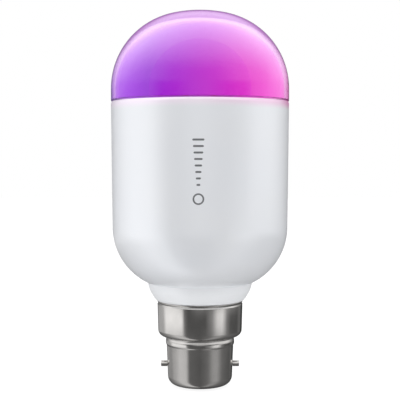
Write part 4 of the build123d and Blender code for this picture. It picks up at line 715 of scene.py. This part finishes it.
dress(coil("enamelled_coil", (0.70, 0.30, 0.14), "Y"), "choke_winding")
ferrite = moulded("sintered_ferrite", (0.075, 0.075, 0.08), 0.62, 8e-6, 2400, 0.3)
dress(ferrite, "choke_core", "transformer_core")
dress(moulded("phenolic_bobbin", (0.045, 0.038, 0.036), 0.5, 3e-6, 1500, 0.2), "transformer_bobbin")
dress(moulded("yellow_tape", (0.86, 0.66, 0.10), 0.28, 6e-6, 380, 0.12), "transformer_winding")

# ---------------------------------------------------------------- radio

# A pressed tin can covers the radio's chips, and a meander of bare copper is its antenna. Gilt
# header pins join the boards.
dress(metal("pressed_tin", (0.74, 0.75, 0.77), 0.24, (1, 1, 9), 1.5e-6, 0.1), "radio_shield")
dress(metal("etched_copper", (0.74, 0.36, 0.20), 0.30, (1, 1, 1), 1e-6, 0.25), "radio_antenna")
dress(metal("gilt_pins", (0.86, 0.66, 0.32), 0.22, (1, 1, 8), 0.6e-6, 0.15), "header_pins")

# ---------------------------------------------------------------- spreader and LED board

# A turned aluminium disc, a soft grey pad and the LED board are clamped by three plated screws.
# A white reflector sheet lies round the LEDs.
dress(metal("turned_aluminium", (0.80, 0.81, 0.82), 0.26, (1, 1, 20), 1e-6, 0.1), "spreader_plate")
dress(moulded("grey_silicone", (0.42, 0.43, 0.46), 0.75, 10e-6, 1500, 0.15), "thermal_pad")
dress(moulded("reflector_sheet", (0.93, 0.93, 0.93), 0.6, 1e-6, 2500, 0.03), "reflector_sheet")
dress(metal("plated_screws", (0.66, 0.67, 0.69), 0.24, (1, 1, 6), 1e-6, 0.2), "board_screws")

# Twelve white LEDs stand in the outer ring, and six colour LEDs in the inner one. Each is a
# white cup, filled with yellow phosphor gel or with clear resin.
dress(moulded("led_cup", (0.92, 0.92, 0.89), 0.32, 1e-6, 3000, 0.05), "white_leds", "rgb_leds")
dress(moulded("phosphor_gel", (0.90, 0.72, 0.16), 0.30, 6e-6, 6000, 0.25), "white_phosphor")
resin = moulded("clear_resin", (0.80, 0.83, 0.86), 0.08, 3e-6, 900, 0.05, Transmission_Weight=0.7, IOR=1.5)
dress(resin, "rgb_resin")

# ---------------------------------------------------------------- diffuser seal

# A moulded ring of white silicone lies on the top edge of the heat sink. The foot of the dome's
# skirt rests on it.
dress(moulded("white_silicone", (0.86, 0.86, 0.86), 0.6, 3e-6, 1500, 0.04), "diffuser_seal")

# ---------------------------------------------------------------- inner diffuser

# A thin opal thimble mixes the colours of the inner ring. Its flange rests on the reflector
# sheet, and three posts locate it in the board.
THIMBLE_R = 17.3
THIMBLE_WALL = 1.2
THIMBLE_CENTRE = (0, 101.2)
FLANGE_R = 19.0
FLANGE_THICKNESS = 0.8
SHEET_TOP = 94.2
POST_RING = 18.15
POST_R = 0.7
POST_FOOT = 92.63

thimble_outline = eased(
    (0, THIMBLE_CENTRE[1] + THIMBLE_R - THIMBLE_WALL, 0),
    arc(THIMBLE_CENTRE, THIMBLE_R - THIMBLE_WALL, 88, 0, 32),
    (THIMBLE_R - THIMBLE_WALL, SHEET_TOP, 0.1),
    (FLANGE_R, SHEET_TOP, 0.1),
    (FLANGE_R, SHEET_TOP + FLANGE_THICKNESS, 0.2),
    (THIMBLE_R, SHEET_TOP + FLANGE_THICKNESS, 0.2),
    arc(THIMBLE_CENTRE, THIMBLE_R, 0, 88, 32),
    (0, THIMBLE_CENTRE[1] + THIMBLE_R, 0),
)
post_outline = eased((0, POST_FOOT, 0), (POST_R, POST_FOOT, 0.1), (POST_R, SHEET_TOP, 0), (0, SHEET_TOP, 0))
post_vertices, post_faces = turned(post_outline, 24)
posts = []
for turn in np.radians([30, 150, 270]):
    aside = np.array([math.cos(turn), math.sin(turn), 0]) * POST_RING * MM
    posts.append((post_vertices + aside, post_faces))
thimble = joined(turned(thimble_outline, 144), *posts)
# The opal plastic glows, mottled a little by its filler
thimble_opal, tree, shader = new_finish("thimble_opal")
set_plain(shader, {"Emission Strength": 1.0})
cloud = spread(tree, grain(tree, 120, 3), 0, 1)
tree.links.new(mixed(tree, cloud, (0.50, 0.03, 0.62), (0.45, 0.027, 0.558)), shader.inputs["Emission Color"])
tree.links.new(mixed(tree, cloud, (0.10, 0.02, 0.12), (0.08, 0.015, 0.10)), shader.inputs["Base Color"])
tree.links.new(spread(tree, grain(tree, 900), 0.405, 0.54), shader.inputs["Roughness"])
make_piece("inner_diffuser_moulded", thimble, thimble_opal, slots["inner_diffuser"], "inner_diffuser")

# ---------------------------------------------------------------- opal liner

# The opal liner stands on a ledge in the dome, just inside its wall. The colour LEDs light it
# violet on one side and magenta on the other, and it is paler towards the crown, partly from a painted
# reflection of the studio's soft light.
DOME_SHOULDER = 100.85
DOME_SIDE = 25.75
DOME_TOP = 127.05
DOME_WALL = 1.5
CROWN_WALL = 2.5
BORE_SIDE = 23.0
LEDGE_Z = 97.2
LINER_GAP = 0.15
LINER_WALL = 0.8
LINER_FOOT = LEDGE_Z + 0.05


def domed(wall_r, side_r, top_z, count):
    """The profile of a domed wall as rows of (r, z, 0), from its shoulder to the axis: an arc
    of side_r, and a flatter crown arc that meets it with one tangent. With a = wall_r - side_r
    and h the rise, the crown's radius is (h^2 + a^2 - side_r^2) / (2 (h - side_r))."""
    inset, rise_of_dome = wall_r - side_r, top_z - DOME_SHOULDER
    crown_r = (rise_of_dome**2 + inset**2 - side_r**2) / (2 * (rise_of_dome - side_r))
    crown = (0, top_z - crown_r)
    meet = math.degrees(math.atan2(DOME_SHOULDER - crown[1], inset))
    side = arc((inset, DOME_SHOULDER), side_r, 0, meet, count)
    cap = arc(crown, crown_r, meet, 90, count)
    cap[-1, 0] = 0
    return np.vstack([side, cap[1:]])


def offset_dome(gap):
    """The bore's profile moved inwards by a gap."""
    return domed(BODY_R - DOME_WALL - gap, BORE_SIDE - gap, DOME_TOP - CROWN_WALL - gap, 36)


liner_outside, liner_inside = offset_dome(LINER_GAP), offset_dome(LINER_GAP + LINER_WALL)
liner_outline = eased(
    liner_inside[::-1],
    (liner_inside[0, 0], LINER_FOOT, 0.1),
    (liner_outside[0, 0], LINER_FOOT, 0.1),
    liner_outside,
)

# How the glow looks from outside, low down and at the crown, as stops of (x, colour) from the
# violet side to the magenta side. The tints are what the dome's two surfaces let through, seen
# square on, and the edges are the same seen along the wall.
GLOW_REACH = 30
LOW_GLOW = [
    (-24, (0.27, 0.012, 0.62)),
    (-16, (0.22, 0.003, 0.51)),
    (-6, (0.32, 0.003, 0.50)),
    (5, (0.46, 0.006, 0.47)),
    (13, (0.62, 0.016, 0.47)),
    (20, (0.72, 0.035, 0.50)),
    (26, (0.80, 0.10, 0.58)),
]
CROWN_GLOW = [(-20, (0.60, 0.48, 0.74)), (0, (0.52, 0.31, 0.66)), (20, (0.62, 0.41, 0.66))]
LOW_TINT = [(-28, (0.76, 0.40, 0.97)), (0, (0.90, 0.42, 0.93)), (28, (0.99, 0.48, 0.91))]
CROWN_TINT = (0.94, 0.78, 0.98)
CROWN_EDGE = (0.92, 0.60, 0.96)
LOW_EDGE = [(-28, (0.10, 0.01, 0.38)), (0, (0.70, 0.20, 0.80)), (28, (0.60, 0.06, 0.36))]
GLASS_PASSES = 0.92
LINER_OPACITY = 0.60
LINER_STRENGTH = 1.5
# The glow pales upwards, over a span above a foot, and sooner far from the middle; part of the paling is a
# painted reflection of the studio's soft light
PALE_FOOT = 100
PALE_SPAN = 30
PALE_BOW = 0.009
PALENESS = [(0, 0), (0.13, 0.005), (0.26, 0.06), (0.38, 0.22), (0.52, 0.45), (0.7, 0.7), (0.88, 1)]


def own_mm(tree, axis):
    """A place along one of the bulb's own axes, in millimetres."""
    return calculate(tree, "MULTIPLY", own_place(tree)[axis], 1 / MM)


def sideways(tree, stops):
    """Stops of (x, colour), with x in millimetres, as a ramp over 0.5 + x / (2 reach)."""
    share = calculate(tree, "MULTIPLY_ADD", own_mm(tree, "X"), 1 / (2 * GLOW_REACH), 0.5)
    return shades(tree, share, [(0.5 + x / (2 * GLOW_REACH), colour) for x, colour in stops])


def paling_and_painted_sheen(tree):
    """How far the glow has paled, partly as a painted reflection of soft light, against the height z + bow
    x^2 in millimetres.
    """
    x, z = own_mm(tree, "X"), own_mm(tree, "Z")
    height = calculate(tree, "MULTIPLY_ADD", calculate(tree, "MULTIPLY", x, PALE_BOW), x, z)
    share = calculate(tree, "MULTIPLY_ADD", height, 1 / PALE_SPAN, -PALE_FOOT / PALE_SPAN)
    return shades(tree, share, PALENESS)


def behind_tint(seen, tint):
    """The colour to emit so that it looks as given from outside: the colour seen, over the
    dome's tint, what its two surfaces don't reflect, and the liner's strength."""
    return tuple(s / (t * GLASS_PASSES * LINER_STRENGTH) for s, t in zip(seen, tint))


def tint_at(x):
    """The dome's low tint at a place across it, read off its stops."""
    places = [place for place, _ in LOW_TINT]
    return tuple(float(np.interp(x, places, [tint[i] for _, tint in LOW_TINT])) for i in range(3))


liner_opal, tree, shader = new_finish("liner_opal")
set_plain(shader, {"Roughness": 0.4, "Emission Strength": LINER_STRENGTH, "Alpha": LINER_OPACITY})
set_plain(shader, {"Specular IOR Level": 0.1})
low_stops = [(x, behind_tint(seen, tint_at(x))) for x, seen in LOW_GLOW]
crown_stops = [(x, behind_tint(seen, CROWN_TINT)) for x, seen in CROWN_GLOW]
# The paling towards the crown is partly a painted reflection of the studio's soft light
lit = mixed(tree, paling_and_painted_sheen(tree), sideways(tree, low_stops), sideways(tree, crown_stops))
tree.links.new(lit, shader.inputs["Emission Color"])
plastic = mixed(tree, spread(tree, grain(tree, 150), 0, 1), (0.05, 0.008, 0.07), (0.04, 0.006, 0.06))
tree.links.new(plastic, shader.inputs["Base Color"])
liner = turned(liner_outline, 224)
make_piece("diffuser_liner_moulded", liner, liner_opal, slots["diffuser_liner"], "diffuser_liner")

# ---------------------------------------------------------------- dome

# The outer dome is one clear moulding, thicker at the crown, tinted by the glow, with a faint glow painted
# on as emission. Its skirt drops inside the body's rim onto the silicone ring and holds with six snap lugs.
SKIRT_R = 28.2
SKIRT_INNER_R = 26.9
SKIRT_FOOT = 93.0
LUG_COUNT = 6
LUG_WIDTH = 14
LUG_ROOT_R = 27.7
LUG_R = 28.85
LUG_FOOT = 94.0
LUG_TOP = 95.0
LUG_LIP = 0.3
GRAZING = (0.60, 0.88)  # how far the wall has turned from the eye where its edge tint starts and ends
# Painted glow: emission on the clear dome that stands in for light guided round inside the wall, which
# leaves it a little at each reflection
GUIDED_CROWN = (0.105, 0.052, 0.125)
GUIDED_LOW = [(-28, (0.012, 0.001, 0.03)), (0, (0.01, 0.001, 0.01)), (28, (0.03, 0.003, 0.02))]

outside = domed(BODY_R, DOME_SIDE, DOME_TOP, 48)
bore = domed(BODY_R - DOME_WALL, BORE_SIDE, DOME_TOP - CROWN_WALL, 40)
dome_outline = eased(
    bore[::-1],
    (BODY_R - DOME_WALL, LEDGE_Z, 0.1),
    (SKIRT_INNER_R, LEDGE_Z, 0.1),
    (SKIRT_INNER_R, SKIRT_FOOT, 0.1),
    (SKIRT_R, SKIRT_FOOT, 0.1),
    (SKIRT_R, SEAM_Z, 0.1),
    (BODY_R - RIM_CHAMFER, SEAM_Z, 0.1),
    (BODY_R, SEAM_Z + RIM_CHAMFER, 0.15),
    outside,
)
lug_outline = eased(
    (LUG_ROOT_R, LUG_TOP, 0.02),
    (LUG_R, LUG_TOP, 0.08),
    (LUG_R, LUG_TOP - LUG_LIP, 0.08),
    (SKIRT_R, LUG_FOOT, 0.05),
    (LUG_ROOT_R, LUG_FOOT, 0.02),
)
lug_turns = [index * 360 / LUG_COUNT - LUG_WIDTH / 2 for index in range(LUG_COUNT)]
lugs = [swept(lug_outline, turn, LUG_WIDTH) for turn in lug_turns]
dome_clear, tree, shader = new_finish("dome_clear")
set_plain(shader, {"IOR": 1.49, "Transmission Weight": 1.0, "Emission Strength": 1.0})
pale = paling_and_painted_sheen(tree)
faced = mixed(tree, pale, sideways(tree, LOW_TINT), CROWN_TINT)
grazed = mixed(tree, pale, sideways(tree, LOW_EDGE), CROWN_EDGE)
facing = add(tree, "ShaderNodeLayerWeight", {"Blend": 0.5}).outputs["Facing"]
tree.links.new(mixed(tree, rise(tree, facing, *GRAZING), faced, grazed), shader.inputs["Base Color"])
painted_guided_glow = mixed(tree, pale, sideways(tree, GUIDED_LOW), GUIDED_CROWN)
tree.links.new(painted_guided_glow, shader.inputs["Emission Color"])
tree.links.new(spread(tree, grain(tree, 240), 0.012, 0.035), shader.inputs["Roughness"])
relief(tree, shader, grain(tree, 90, 2), 6e-6)
dome = joined(turned(dome_outline, 256), *lugs)
make_piece("diffuser_dome_moulded", dome, dome_clear, slots["diffuser_dome"], "diffuser_dome")
